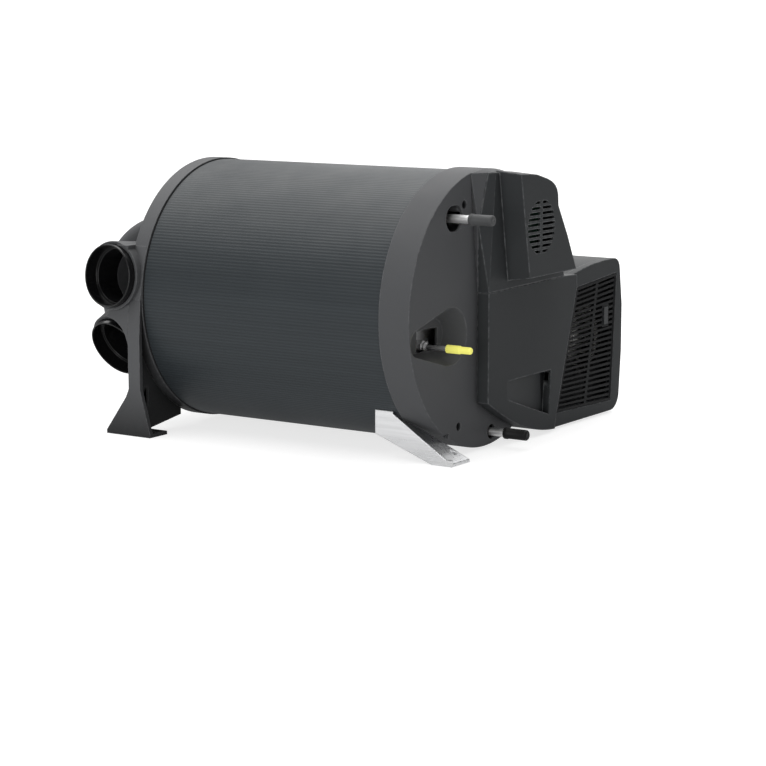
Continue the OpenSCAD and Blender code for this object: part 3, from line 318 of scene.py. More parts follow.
def axes_round(direction):
    """Two unit vectors across a direction, and the direction itself."""
    w = np.array(direction, float) / np.linalg.norm(direction)
    u = np.cross(w, [0.0, 0.0, 1.0] if abs(w[2]) < 0.9 else [0.0, 1.0, 0.0])
    u /= np.linalg.norm(u)
    return u, np.cross(w, u), w


def turned(profile, origin, direction, sides):
    """Surface of revolution: each profile point (radius r, height h) goes round the axis as
    origin + r (cos a u + sin a v) + h w."""
    u, v, w = axes_round(direction)
    a = np.linspace(0, 2 * np.pi, sides, endpoint=False)
    r, h = np.asarray(profile, float).T
    ring = np.cos(a)[:, None] * u + np.sin(a)[:, None] * v
    return np.asarray(origin) + ring[:, None, :] * r[None, :, None] + h[None, :, None] * w


def arc(centre, radius, start, end, steps=6):
    """Points of an arc about a centre, from one angle to another in degrees: centre + r (cos a, sin a)."""
    a = np.radians(np.linspace(start, end, steps + 1))
    return np.stack([centre[0] + radius * np.cos(a), centre[1] + radius * np.sin(a)], axis=1)


def plate(low, high):
    """Flat piece between two like rings of points: rows at the first ring's middle, the first ring, the
    second ring and its middle."""
    first, last = (np.repeat(ring.mean(axis=0)[None], len(ring), axis=0) for ring in (low, high))
    return np.stack([first, low, high, last], axis=1)


def rounded_corners(corners, radius, steps=6):
    """Points and outward directions along a convex outline whose corners are arcs of one radius,
    counter-clockwise: each arc runs from the normal of the edge before its corner to that of the edge
    after it."""
    ahead = np.roll(corners, -1, axis=0) - corners
    turn = np.arctan2(-ahead[:, 0], ahead[:, 1])
    start = np.roll(turn, 1)
    sweep = (turn - start) % (2 * np.pi)
    angle = start[:, None] + sweep[:, None] * np.linspace(0, 1, steps + 1)
    out = np.stack([np.cos(angle), np.sin(angle)], axis=2)
    middle = (start + sweep / 2)[:, None]
    bisector = np.concatenate([np.cos(middle), np.sin(middle)], axis=1)
    centre = corners - bisector * (radius / np.cos(sweep / 2))[:, None]
    return (centre[:, None] + radius * out).reshape(-1, 2), out.reshape(-1, 2)


def jacket_surface(sizes):
    """Fluted tube along X: at angle a the outer radius is R - d ((1 - cos n a) / 2)^p for n flutes of depth
    d, and the section's loop goes from the bore over softened ends to that radius and back."""
    low, high = node_box("jacket")
    centre = (low + high) / 2
    outer = (high[2] - low[2]) / 2
    bore = outer - sizes.jacket_wall
    a = np.linspace(0, 2 * np.pi, sizes.flutes * FLUTE_POINTS, endpoint=False)
    crest = outer - sizes.flute_depth * ((1 - np.cos(sizes.flutes * a)) / 2) ** FLUTE_POWER
    share = np.array([0.0, JACKET_SOFT_SHARE, 1.0, 1.0, 1.0, 1.0, JACKET_SOFT_SHARE, 0.0])
    inset = np.array([0.0, 0.0, JACKET_SOFT, JACKET_ROW])
    along = np.concatenate([low[0] + inset, high[0] - inset[::-1]])
    radius = bore + (crest[:, None] - bore) * share[None, :]
    x = np.repeat(along[None, :], len(a), axis=0)
    y = centre[1] + radius * np.cos(a)[:, None]
    z = centre[2] + radius * np.sin(a)[:, None]
    return np.stack([x, y, z], axis=2)


def skin_surface(sizes):
    """Side skin of the rear cap. A row at height z runs from the outlets' rims to the leg's edge, or above
    the axis to the rim's edge. Its depth follows the leg's outer face up to the axis, and above it the rim's
    circle sqrt(R^2 - z^2) with a lip that runs out upwards. The wall behind makes each row a loop."""
    low, high = node_box("jacket")
    axis_z = (low[2] + high[2]) / 2
    leg_face = -node_box("near_foot")[0][1]
    rim = np.abs(node_points("rear_seal")[:, 1]).max() + RIM_RISE
    ring = sizes.outlet_bore + sizes.outlet_wall + sizes.skin_gap
    lower, upper = (np.array(MOUNTS[name + "_near_duct"]["pos_m"])[[0, 2]] for name in ("lower", "upper"))
    below = np.radians(np.linspace(*LOWER_ARC))
    above = np.radians(np.linspace(*UPPER_ARC))
    left = np.concatenate([lower + ring * np.stack([np.cos(below), np.sin(below)], axis=1),
                           upper + ring * np.stack([np.cos(above), np.sin(above)], axis=1)])
    # Two rows at the axis, where the right edge steps from the leg to the rim
    at_axis = [np.interp(axis_z, left[:, 1], left[:, 0]), axis_z]
    left = np.insert(left, np.searchsorted(left[:, 1], axis_z), [at_axis] * 2, axis=0)
    start, z = left.T
    step = np.searchsorted(z, axis_z, side="left") + 1
    end = np.where(np.arange(len(z)) < step, LEG_EDGE, RIM_EDGE)
    lip = np.clip(1 - (z - axis_z) / LIP_RUN, 0, 1) ** 2 * RIM_LIP
    circle = np.sqrt(rim ** 2 - np.clip(z - axis_z, 0, None) ** 2) + lip
    slope = np.interp(z, [axis_z - LEG_BLEND, axis_z], [leg_face, rim + RIM_LIP])
    depth = np.where(z <= axis_z, slope, circle)
    x = start[:, None] + (end - start)[:, None] * np.linspace(0, 1, SKIN_COLUMNS)
    face = np.stack([x, np.repeat(-depth[:, None], SKIN_COLUMNS, axis=1),
                     np.repeat(z[:, None], SKIN_COLUMNS, axis=1)], axis=2)
    loop = np.concatenate([face, face[:, ::-1] + [0, sizes.skin_wall, 0]], axis=1)
    ends = (loop + loop[:, ::-1]) / 2
    return np.concatenate([ends[:1], loop, ends[-1:]])


def gusset_surface(sizes):
    """Gusset in a leg: a flat plate across Y over an outline of x and z."""
    foot_low = node_box("near_foot")[0]
    outline = np.array([[foot_low[0] + GUSSET_INSET, GUSSET_FOOT], *GUSSET_TOP])
    inner = foot_low[1] + GUSSET_DEPTH
    return plate(*(np.insert(outline, 1, y, axis=1) for y in (inner - sizes.gusset_wall, inner)))


def outlet_profile(sizes):
    """Section of an outlet as radius and height under its mouth: outer wall, rounded lip, bore, stop ring and
    liner."""
    bore = sizes.outlet_bore
    outer = bore + sizes.outlet_wall
    lip = sizes.outlet_wall / 2
    floor = -sizes.outlet_depth
    back = floor - sizes.stop_length
    throat = bore - sizes.stop_height
    liner = throat + sizes.outlet_wall
    liner_end = back - sizes.liner_length
    return np.concatenate([
        [[outer, back], [outer, -LIP_LENGTH]],
        arc((bore + lip, -lip), lip, 0, 180, 10),
        [[bore, -LIP_LENGTH], [bore, floor + SEAT_ROUND]],
        arc((bore - SEAT_ROUND, floor + SEAT_ROUND), SEAT_ROUND, 0, -90, 4),
        arc((throat + STOP_ROUND, floor - STOP_ROUND), STOP_ROUND, 90, 180, 4),
        [[throat, liner_end], [liner, liner_end], [liner, back]]])


def cap_profile(sizes, grip, thick, far):
    """Section of a pipe cap as radius and height over its open end: thick grip, tube, ball end with the mark
    of the gate, and the inside."""
    tube = grip - sizes.cap_wall / 2
    inside = tube - sizes.cap_wall
    ball = min(sizes.cap_round, tube * BALL_SHARE)
    return np.concatenate([
        [[inside, CAP_EDGE], [inside + CAP_BEVEL, 0.0]],
        arc((grip - CAP_EDGE, CAP_EDGE), CAP_EDGE, -90, 0, 4),
        arc((grip - CAP_EDGE, thick - CAP_EDGE), CAP_EDGE, 0, 70, 4),
        [[tube, thick + CAP_BEVEL]],
        arc((tube - ball, far - ball), ball, 0, 84, 10),
        [[GATE_RADIUS, far - GATE_RIM], [0.0, far - GATE_DEPTH]],
        [[0.0, far - CAP_END], [inside, far - CAP_END]]])


def screw_surface(cloud, sizes):
    """A screw along X in the box of a solid's points: the shank, the head's side and its crown, at height
    h (e + (1 - e) sqrt(1 - (r / R)^2)) less a cross recess where |y| or |z| is under half a blade."""
    low, high = cloud.min(axis=0), cloud.max(axis=0)
    centre = (low + high) / 2
    radius = (high[1] - low[1]) / 2
    seat = high[0] - sizes.screw_head
    a = np.linspace(0, 2 * np.pi, SCREW_SIDES, endpoint=False)[:, None]
    r = np.repeat(np.linspace(radius * CROWN_START, 0, CROWN_RINGS)[None, :], SCREW_SIDES, axis=0)
    crown = sizes.screw_head * (CROWN_EDGE + (1 - CROWN_EDGE) * np.sqrt(1 - (r / radius) ** 2))
    y, z = np.abs(r * np.cos(a)), np.abs(r * np.sin(a))
    blade, arm, soft = radius * BLADE_SHARE, radius * ARM_SHARE, radius * SOFT_SHARE
    bars = [np.clip((blade - p) / soft, 0, 1) * np.clip((arm - q) / soft, 0, 1) for p, q in ((y, z), (z, y))]
    crown -= sizes.recess_depth * np.maximum(*bars)
    side = np.array([[0.0, low[0]], [sizes.screw_shank, low[0]], [sizes.screw_shank, seat], [radius, seat],
                     [radius, seat + sizes.screw_head * HEAD_SIDE]])
    stem = np.repeat(side[None], SCREW_SIDES, axis=0)
    r = np.concatenate([stem[:, :, 0], r], axis=1)
    x = np.concatenate([stem[:, :, 1], seat + crown], axis=1)
    return np.stack([x, centre[1] + r * np.cos(a), centre[2] + r * np.sin(a)], axis=2)


def bead_surface(sizes):
    """Half-round bead along the grille's outline, whose corners are its outermost points on the diagonals:
    the section (w cos t, h sin t) follows the path a bead's width inside the outline."""
    cloud = node_points("intake_grille")
    diagonals = np.array([[-1, -1], [1, -1], [1, 1], [-1, 1]])
    corners = cloud[np.argmax(cloud[:, 1:] @ diagonals.T, axis=0), 1:]
    path, out = rounded_corners(corners, BEAD_CORNER)
    t = np.radians(np.linspace(0, 180, BEAD_POINTS))
    across = sizes.bead_width / 2 * (np.cos(t) - 2.0)
    rise = cloud[:, 0].max() + sizes.bead_height * np.sin(t) - BEAD_SINK
    flat = path[:, None] + out[:, None] * across[None, :, None]
    return np.concatenate([np.repeat(rise[None, :, None], len(path), axis=0), flat], axis=2)


def mouth_painted_shade_surface():
    """Dark sheet of painted shade at the deep end of the scoop, standing for its shaded mouth: a wedge of y and
    z that lies on the scoop's sloping floor.
    """
    low, high = OPENINGS["hand_scoop"]
    top = high[2] + MOUTH_ABOVE
    deep = high[1] + MOUTH_BESIDE
    floor_x = node_box("main_cover")[1][0] + SCOOP_LIFT - SCOOP_FALL * (deep + SCOOP_END - SCOOP_START)
    wedge = np.array([[deep, top], [deep - MOUTH_WIDTH, top], [deep - MOUTH_POINT, low[2] - MOUTH_BELOW]])
    x = floor_x + SCOOP_FALL * (deep - wedge[:, 0])
    return plate(np.column_stack([x, wedge]), np.column_stack([x + MOUTH_WALL, wedge]))


def settle(piece, body, slot, material, *nodes):
    """Lets a piece ride on its body, take its finish and stand for its solids; the slot it is given is not used.
    """
    piece.data.materials.clear()
    piece.data.materials.append(material)
    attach(piece, body)
    if nodes:
        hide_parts(*nodes)


def coat(material, *nodes):
    """Gives solids of the frame a finish."""
    for name in nodes:
        NODES[name].data.materials.clear()
        NODES[name].data.materials.append(material)


# Node helpers and shared effects

def add(tree, kind, inputs=None, **settings):
    """A node with its settings, whose inputs are values or other nodes' outputs."""
    made = tree.nodes.new(kind)
    for key, value in settings.items():
        setattr(made, key, value)
    for key, value in (inputs or {}).items():
        if isinstance(value, bpy.types.NodeSocket):
            tree.links.new(value, made.inputs[key])
        else:
            made.inputs[key].default_value = value
    return made


def effect(name, inputs, outputs):
    """A new shader group with float or vector inputs and float outputs, and its two end nodes."""
    group = bpy.data.node_groups.new(name, "ShaderNodeTree")
    for label, value in inputs:
        kind = "NodeSocketVector" if value is None else "NodeSocketFloat"
        made = group.interface.new_socket(name=label, in_out="INPUT", socket_type=kind)
        if value is not None:
            made.default_value = value
    for label in outputs:
        group.interface.new_socket(name=label, in_out="OUTPUT", socket_type="NodeSocketFloat")
    return group, group.nodes.new("NodeGroupInput").outputs, group.nodes.new("NodeGroupOutput").inputs


def math_node(tree, operation, a, b=0.0, clamp=False):
    """The output of one sum, product or the like."""
    return add(tree, "ShaderNodeMath", {0: a, 1: b}, operation=operation, use_clamp=clamp).outputs[0]


def times(tree, first, *others):
    """The product of several values."""
    for other in others:
        first = math_node(tree, "MULTIPLY", first, other)
    return first


def spread(tree, value, low, high, to_low, to_high):
    """A value mapped from one range to another."""
    ranges = {"From Min": low, "From Max": high, "To Min": to_low, "To Max": to_high}
    return add(tree, "ShaderNodeMapRange", {"Value": value, **ranges}).outputs[0]


def noise(tree, vector, scale, detail):
    """The value of a noise texture."""
    made = add(tree, "ShaderNodeTexNoise", {"Vector": vector, "Scale": scale, "Detail": detail})
    return made.outputs["Fac"]


def grain_effect():
    """Spark-eroded grain of a mould: fine pits, a slow drift of tone and a drift of gloss."""
    inputs = [("Vector", None), ("Pits", 1500.0), ("Drift", 9.0), ("Contrast", 0.08)]
    group, given, out = effect("Moulded grain", inputs, ["Tone", "Gloss", "Height"])
    pits = noise(group, given["Vector"], given["Pits"], 3.0)
    cells = add(group, "ShaderNodeTexVoronoi", {"Vector": given["Vector"], "Scale": given["Pits"]})
    slow = noise(group, given["Vector"], given["Drift"], 4.0)
    centred = math_node(group, "SUBTRACT", slow, 0.5)
    speck = times(group, math_node(group, "SUBTRACT", pits, 0.5), 0.6)
    both = math_node(group, "ADD", centred, speck)
    swing = times(group, both, times(group, given["Contrast"], 2.0))
    height = math_node(group, "ADD", pits, times(group, cells.outputs["Distance"], 0.5))
    group.links.new(math_node(group, "ADD", swing, 1.0), out["Tone"])
    group.links.new(times(group, centred, 0.25), out["Gloss"])
    group.links.new(height, out["Height"])
    return group


def worn_and_highlit_edges_effect():
    """Paler edges, partly wear from handling and partly painted highlight where edges would catch light: where
    the softened normal leaves the flat one, broken up by noise.
    """
    inputs = [("Vector", None), ("Soft normal", None), ("Flat normal", None), ("Amount", 0.5)]
    group, given, out = effect("Rubbed edges", inputs, ["Mask"])
    dot = add(group, "ShaderNodeVectorMath", {0: given["Soft normal"], 1: given["Flat normal"]},
              operation="DOT_PRODUCT")
    edge = spread(group, dot.outputs["Value"], 0.999, 0.93, 0.0, 1.0)
    broken = spread(group, noise(group, given["Vector"], 160.0, 3.0), 0.38, 0.62, 0.25, 1.0)
    group.links.new(times(group, edge, broken, given["Amount"]), out["Mask"])
    return group


def dust_effect():
    """A thin film of dust on what faces up, with soft patches."""
    group, given, out = effect("Dust film", [("Vector", None), ("Normal", None), ("Amount", 0.1)], ["Mask"])
    up = add(group, "ShaderNodeSeparateXYZ", {0: given["Normal"]}).outputs["Z"]
    lying = spread(group, up, 0.2, 1.0, 0.0, 1.0)
    soft = spread(group, noise(group, given["Vector"], 26.0, 5.0), 0.3, 0.7, 0.35, 1.0)
    group.links.new(times(group, lying, soft, given["Amount"]), out["Mask"])
    return group


def draw_effect():
    """Fine lines of drawn or rolled metal: noise stretched along the working direction."""
    inputs = [("Vector", None), ("Lines", 900.0)]
    group, given, out = effect("Drawn lines", inputs, ["Tone", "Gloss", "Height"])
    lines = noise(group, given["Vector"], given["Lines"], 4.0)
    slow = noise(group, given["Vector"], 12.0, 3.0)
    group.links.new(spread(group, lines, 0.25, 0.75, 0.88, 1.08), out["Tone"])
    group.links.new(math_node(group, "SUBTRACT", math_node(group, "ADD", lines, slow), 1.0), out["Gloss"])
    group.links.new(lines, out["Height"])
    return group


EFFECTS = {}


def shared(name):
    """A shared effect, built when it is first asked for."""
    makers = {"grain": grain_effect, "rub": worn_and_highlit_edges_effect, "dust": dust_effect, "draw": draw_effect}
    if name not in EFFECTS:
        EFFECTS[name] = makers[name]()
    return EFFECTS[name]


def new_finish(name):
    """An empty material with its tree, its shader and the object's own coordinates."""
    material = bpy.data.materials.new(name)
    material.use_nodes = True
    tree = material.node_tree
    shader = tree.nodes["Principled BSDF"]
    place = tree.nodes.new("ShaderNodeTexCoord").outputs["Object"]
    return material, tree, shader, place


def use_effect(tree, name, inputs):
    """Outputs of a shared effect with these inputs."""
    return add(tree, "ShaderNodeGroup", inputs, node_tree=shared(name)).outputs


def scaled_colour(tree, colour, factor):
    """A colour times a factor that changes over the surface."""
    colour = colour if isinstance(colour, bpy.types.NodeSocket) else tuple(colour)
    made = add(tree, "ShaderNodeVectorMath", {0: colour, "Scale": factor}, operation="SCALE")
    return made.outputs["Vector"]


def blend_colour(tree, factor, a, b):
    """One colour shown through another by a mask."""
    made = add(tree, "ShaderNodeMix", {0: factor}, data_type="RGBA")
    for index, value in ((6, a), (7, b)):
        if isinstance(value, bpy.types.NodeSocket):
            tree.links.new(value, made.inputs[index])
        else:
            made.inputs[index].default_value = (*value, 1.0)
    return made.outputs[2]


def moulded(name, colour, roughness, pits=1500.0, contrast=0.08, bump=0.00005, rub=0.4, dust=0.06, edge=None,
            specular=0.2, crevice=0.6, reach=None, closed=0.2):
    """Moulded plastic: eroded grain, softened edges made paler as wear and as painted highlight, painted shade
    that darkens corners (also meant as grime) and dust on what faces up.
    """
    material, tree, shader, place = new_finish(name)
    sizes = bpy.context.scene.heater_sizes
    edge = sizes.edge_round if edge is None else edge
    reach = sizes.crevice if reach is None else reach
    grain = use_effect(tree, "grain", {"Vector": place, "Pits": pits, "Contrast": contrast})
    flat = tree.nodes.new("ShaderNodeNewGeometry").outputs["Normal"]
    soft = add(tree, "ShaderNodeBevel", {"Radius": edge}, samples=BEVEL_SAMPLES).outputs[0]
    rubbed_and_highlit = use_effect(tree, "rub", {"Vector": place, "Soft normal": soft, "Flat normal": flat,
                                      "Amount": rub})
    film = use_effect(tree, "dust", {"Vector": place, "Normal": flat, "Amount": dust})
    # Painted shade: an ambient occlusion mask darkens the colour in corners and slots within reach; it is also
    # meant as grime.
    corners = add(tree, "ShaderNodeAmbientOcclusion", {"Distance": reach}, samples=SHADE_SAMPLES)
    grime_and_painted_shade = spread(tree, corners.outputs["AO"], closed, closed + SHADE_SPAN, 1.0 - crevice, 1.0)
    body = scaled_colour(tree, colour, times(tree, grain["Tone"], grime_and_painted_shade))
    # Paler edges: partly wear, partly painted highlight where edges would catch light.
    pale_wear_and_highlight = tuple(min(1.0, WORN_AND_HIGHLIGHT_GAIN * c + WORN_AND_HIGHLIGHT_LIFT) for c in colour)
    worn_and_highlit = blend_colour(tree, rubbed_and_highlit["Mask"], body, pale_wear_and_highlight)
    tree.links.new(blend_colour(tree, film["Mask"], worn_and_highlit, DUST_COLOUR), shader.inputs["Base Color"])
    rough = math_node(tree, "ADD", grain["Gloss"], roughness)
    dull = math_node(tree, "ADD", rough, times(tree, film["Mask"], DUST_ROUGHNESS), True)
    tree.links.new(dull, shader.inputs["Roughness"])
    relief = add(tree, "ShaderNodeBump", {"Strength": GRAIN_STRENGTH, "Distance": bump,
                                          "Height": grain["Height"], "Normal": soft})
    tree.links.new(relief.outputs[0], shader.inputs["Normal"])
    shader.inputs["Specular IOR Level"].default_value = specular
    return material


def metal(name, colour, roughness, stretch=(0.05, 1.0, 1.0), lines=900.0, bump=0.00002, gloss=0.15,
          edge=0.0006):
    """Drawn, rolled or cast metal: lines along the working direction, softened edges and uneven gloss."""
    material, tree, shader, place = new_finish(name)
    along = add(tree, "ShaderNodeMapping", {"Vector": place, "Scale": stretch}).outputs[0]
    drawn = use_effect(tree, "draw", {"Vector": along, "Lines": lines})
    soft = add(tree, "ShaderNodeBevel", {"Radius": edge}, samples=BEVEL_SAMPLES).outputs[0]
    tree.links.new(scaled_colour(tree, colour, drawn["Tone"]), shader.inputs["Base Color"])
    rough = math_node(tree, "ADD", times(tree, drawn["Gloss"], gloss), roughness, True)
    tree.links.new(rough, shader.inputs["Roughness"])
    relief = add(tree, "ShaderNodeBump", {"Strength": LINE_STRENGTH, "Distance": bump,
                                          "Height": drawn["Height"], "Normal": soft})
    tree.links.new(relief.outputs[0], shader.inputs["Normal"])
    shader.inputs["Metallic"].default_value = 1.0
    return material


def fluted(name, colour):
    """Jacket plastic: grain, dust, painted shade of the flutes that makes their crests paler than their valleys,
    and faint streaks along the drum."""
    material = moulded(name, colour, 0.46, pits=1100.0, contrast=0.07, rub=0.0, dust=0.1, edge=0.0002,
                       specular=0.27)
    tree = material.node_tree
    base = tree.nodes["Principled BSDF"].inputs["Base Color"]
    place = tree.nodes.new("ShaderNodeTexCoord").outputs["Object"]
    along = add(tree, "ShaderNodeMapping", {"Vector": place, "Scale": (0.6, 60.0, 60.0)}).outputs[0]
    streak = spread(tree, noise(tree, along, 3.0, 3.0), 0.3, 0.7, 0.93, 1.07)
    low, high = node_box("jacket")
    around = add(tree, "ShaderNodeVectorMath", {0: place, 1: tuple((low + high) / 2)}, operation="SUBTRACT")
    parts = add(tree, "ShaderNodeSeparateXYZ", {"Vector": around.outputs["Vector"]}).outputs
    # Painted shade of the flutes: the colour follows the cosine of the flute angle, paler on crests and darker
    # in valleys.
    angle = math_node(tree, "ARCTAN2", parts["Z"], parts["Y"])
    flute_painted_shade_wave = math_node(tree, "COSINE", times(tree, angle, bpy.context.scene.heater_sizes.flutes))
    crest = spread(tree, flute_painted_shade_wave, -1.0, 1.0, 0.88, 1.12)
    tree.links.new(scaled_colour(tree, base.links[0].from_socket, times(tree, crest, streak)), base)
    return material


# Operators, one for each piece or group of like pieces

class HeaterOperator:
    """What the operators share."""
    bl_options = {"REGISTER"}


class HEATER_OT_stage(HeaterOperator, bpy.types.Operator):
    """Make the camera, the floor and the soft studio light"""
    bl_idname = "heater.stage"
    bl_label = "Stage"

    @staticmethod
    def turn_to(way):
        """Turn of a camera or light that looks along a direction."""
        return way.to_track_quat("-Z", "Y").to_euler()

    def execute(self, context):
        scene = context.scene
        stage = scene.heater_stage
        camera = bpy.data.objects.new("camera", bpy.data.cameras.new("camera"))
        camera.location = stage.camera
        camera.rotation_euler = self.turn_to(Vector(stage.target) - Vector(stage.camera))
        camera.data.lens = stage.lens
        camera.data.sensor_width = SENSOR_WIDTH
        camera.data.clip_end = FAR_CLIP
        scene.collection.objects.link(camera)
        scene.camera = camera
        # Flat floor: the point at parameters u and v is (u, v, 0), out to the horizon.
        reach = np.linspace(-stage.floor_reach, stage.floor_reach, FLOOR_POINTS)
        u, v = np.meshgrid(reach, reach, indexing="ij")
        floor = grid_piece("floor", np.stack([u, v, np.zeros_like(u)], axis=2), sharp=80.0)
        material, tree, shader, place = new_finish("studio floor")
        shade = spread(tree, noise(tree, place, 2.0, 3.0), 0.0, 1.0, 0.99, 1.01)
        tree.links.new(scaled_colour(tree, stage.floor, shade), shader.inputs["Base Color"])
        seen = tree.nodes.new("ShaderNodeLightPath").outputs["Is Camera Ray"]
        glow = spread(tree, seen, 0.0, 1.0, stage.floor_glow, stage.floor_lift)
        tree.links.new(glow, shader.inputs["Emission Strength"])
        shader.inputs["Emission Color"].default_value = WHITE
        shader.inputs["Roughness"].default_value = 0.9
        shader.inputs["Specular IOR Level"].default_value = 0.1
        floor.data.materials.append(material)
        sun = bpy.data.objects.new("overhead", bpy.data.lights.new("overhead", "SUN"))
        sun.data.energy = stage.overhead
        sun.data.angle = stage.softness
        sun.rotation_euler = self.turn_to(-Vector(stage.overhead_from))
        scene.collection.objects.link(sun)
        for name, at, size, watts in (("rear_box", stage.rear_box, stage.rear_size, stage.rear_power),
                                      ("side_box", stage.side_box, stage.side_size, stage.side_power)):
            light = bpy.data.objects.new(name, bpy.data.lights.new(name, "AREA"))
            light.data.size = size
            light.data.energy = watts
            light.location = at
            light.rotation_euler = self.turn_to(Vector(stage.middle) - Vector(at))
            light.visible_camera = False
            scene.collection.objects.link(light)
        scene.world = bpy.data.worlds.new("studio")
        scene.world.use_nodes = True
        sky = scene.world.node_tree
        backdrop = sky.nodes["Background"]
        backdrop.inputs["Color"].default_value = WHITE
        looked_at = sky.nodes.new("ShaderNodeLightPath").outputs["Is Camera Ray"]
        bright = spread(sky, looked_at, 0.0, 1.0, stage.world, stage.backdrop)
        sky.links.new(bright, backdrop.inputs["Strength"])
        scene.view_settings.view_transform = "Standard"
        return {"FINISHED"}


class HEATER_OT_jacket(HeaterOperator, bpy.types.Operator):
    """Make the fluted jacket and finish its seals"""
    bl_idname = "heater.jacket"
    bl_label = "Jacket"

    def execute(self, context):
        sizes, colours = context.scene.heater_sizes, context.scene.heater_colours
        piece = grid_piece("fluted_jacket", jacket_surface(sizes), wrap_u=True, wrap_v=True, sharp=50.0)
        settle(piece, "heater", "jacket_plastic", fluted("jacket plastic", colours.jacket), "jacket")
        rubber = moulded("seal rubber", colours.rubber, 0.6, pits=2200.0, contrast=0.1, rub=0.1, dust=0.03,
                         edge=0.0003)
        coat(rubber, "rear_seal", "front_seal", "exhaust_grommet", "air_grommet")
        return {"FINISHED"}


class HEATER_OT_caps(HeaterOperator, bpy.types.Operator):
    """Finish the moulded end caps, the feet, the covers and the fan box"""
    bl_idname = "heater.caps"
    bl_label = "Caps and covers"

    def execute(self, context):
        sizes, colours = context.scene.heater_sizes, context.scene.heater_colours
        # The rear cap and the feet carry strong painted shade: their colour darkens in corners and deep inside
        # the hollow legs.
        rear = moulded("rear cap plastic", colours.rear_cap, 0.5, pits=900.0, crevice=0.85,
                       reach=sizes.cap_shade)
        coat(rear, "rear_cap")
        foot = moulded("foot plastic", colours.rear_cap, 0.5, pits=900.0, crevice=0.95, reach=sizes.leg_shade,
                       closed=0.38)
        coat(foot, "near_foot", "far_foot")
        face = moulded("front cap plastic", colours.face, 0.5, pits=900.0, edge=0.0022, specular=0.1)
        coat(face, "front_cap", "cover_frame")
        # The covers take the paler edges at full strength: wear and painted highlights along their edges.
        cover = moulded("cover plastic", colours.cover, 0.47, pits=800.0, contrast=0.1, bump=0.00008, rub=1.0,
                        edge=0.0022, specular=0.08)
        coat(cover, "main_cover", "electronics_cover", "fan_housing")
        return {"FINISHED"}


class HEATER_OT_skins(HeaterOperator, bpy.types.Operator):
    """Make the side skins between outlets, legs and rear rim, and the gussets inside the legs"""
    bl_idname = "heater.skins"
    bl_label = "Side skins"

    def execute(self, context):
        sizes = context.scene.heater_sizes
        cap_finish = NODES["rear_cap"].data.materials[0]
        leg_finish = NODES["near_foot"].data.materials[0]
        for side, name in ((1.0, "near"), (-1.0, "far")):
            mirror = np.array([1.0, side, 1.0])
            piece = grid_piece(name + "_side_skin", skin_surface(sizes) * mirror, wrap_v=True, sharp=30.0)
            settle(piece, "heater", "cap_plastic", cap_finish)
            piece = grid_piece(name + "_leg_gusset", gusset_surface(sizes) * mirror, wrap_u=True)
            settle(piece, "heater", "cap_plastic", leg_finish)
        return {"FINISHED"}


class HEATER_OT_outlets(HeaterOperator, bpy.types.Operator):
    """Turn the four duct outlets with their rounded lips, stop rings and liners"""
    bl_idname = "heater.outlets"
    bl_label = "Duct outlets"

    def execute(self, context):
        sizes, colours = context.scene.heater_sizes, context.scene.heater_colours
        gloss = moulded("outlet plastic", colours.outlet, 0.2, pits=1800.0, contrast=0.1, bump=0.00001,
                        rub=0.0, dust=0.0, edge=0.0004, specular=0.4)
        profile = outlet_profile(sizes)
        for name in ("upper_near", "lower_near", "upper_far", "lower_far"):
            mount = MOUNTS[name + "_duct"]
            way = np.array(mount["axis"])
            mouth = np.array(mount["pos_m"]) + way * sizes.outlet_depth / 2
            ring = turned(profile, mouth, way, OUTLET_SIDES)
            piece = grid_piece(name + "_outlet_ring", ring, wrap_u=True, wrap_v=True)
            settle(piece, "heater", "outlet_plastic", gloss, name + "_outlet")
        return {"FINISHED"}


class HEATER_OT_pipe_caps(HeaterOperator, bpy.types.Operator):
    """Turn the push-on caps of the pipes"""
    bl_idname = "heater.pipe_caps"
    bl_label = "Pipe caps"

    def execute(self, context):
        sizes, colours = context.scene.heater_sizes, context.scene.heater_colours
        grey = moulded("water cap plastic", colours.pipe_cap, 0.42, pits=1600.0, contrast=0.1, rub=0.2,
                       dust=0.04, edge=0.0004)
        yellow = moulded("fuel cap plastic", colours.fuel_cap, 0.38, pits=1600.0, contrast=0.03, rub=0.0,
                         dust=0.0, edge=0.0004)
        # Painted glow: the yellow cap emits light of its own colour so that it reads brighter, though it is no
        # lamp.
        shader = yellow.node_tree.nodes["Principled BSDF"]
        shader.inputs["Emission Color"].default_value = (*colours.fuel_cap, 1.0)
        shader.inputs["Emission Strength"].default_value = YELLOW_GLOW
        # Painted shade: the cold water cap takes the outlet black, a darkened copy of the grey water cap that
        # shares its slot.
        water_cap_painted_shade = moulded("drain cap plastic", colours.outlet, 0.45, pits=1600.0, contrast=0.1, rub=0.2,
                        dust=0.04, edge=0.0004)
        for name, body, slot, finish, thick in (
                ("hot_pipe_cap", "hot_cap", "pipe_cap_plastic", grey, sizes.water_grip),
                ("cold_pipe_cap", "cold_cap", "pipe_cap_plastic", water_cap_painted_shade, sizes.water_grip),
                ("fuel_pipe_cap", "fuel_cap", "fuel_cap_plastic", yellow, sizes.fuel_grip)):
            low, high = node_box(name)
            centre = (low + high) / 2
            profile = cap_profile(sizes, (high[2] - low[2]) / 2, thick, high[0] - low[0])
            cap = turned(profile, (low[0], centre[1], centre[2]), (1, 0, 0), CAP_SIDES)
            piece = grid_piece(name + "_turned", cap, wrap_u=True, wrap_v=True)
            settle(piece, body, slot, finish, name)
        return {"FINISHED"}


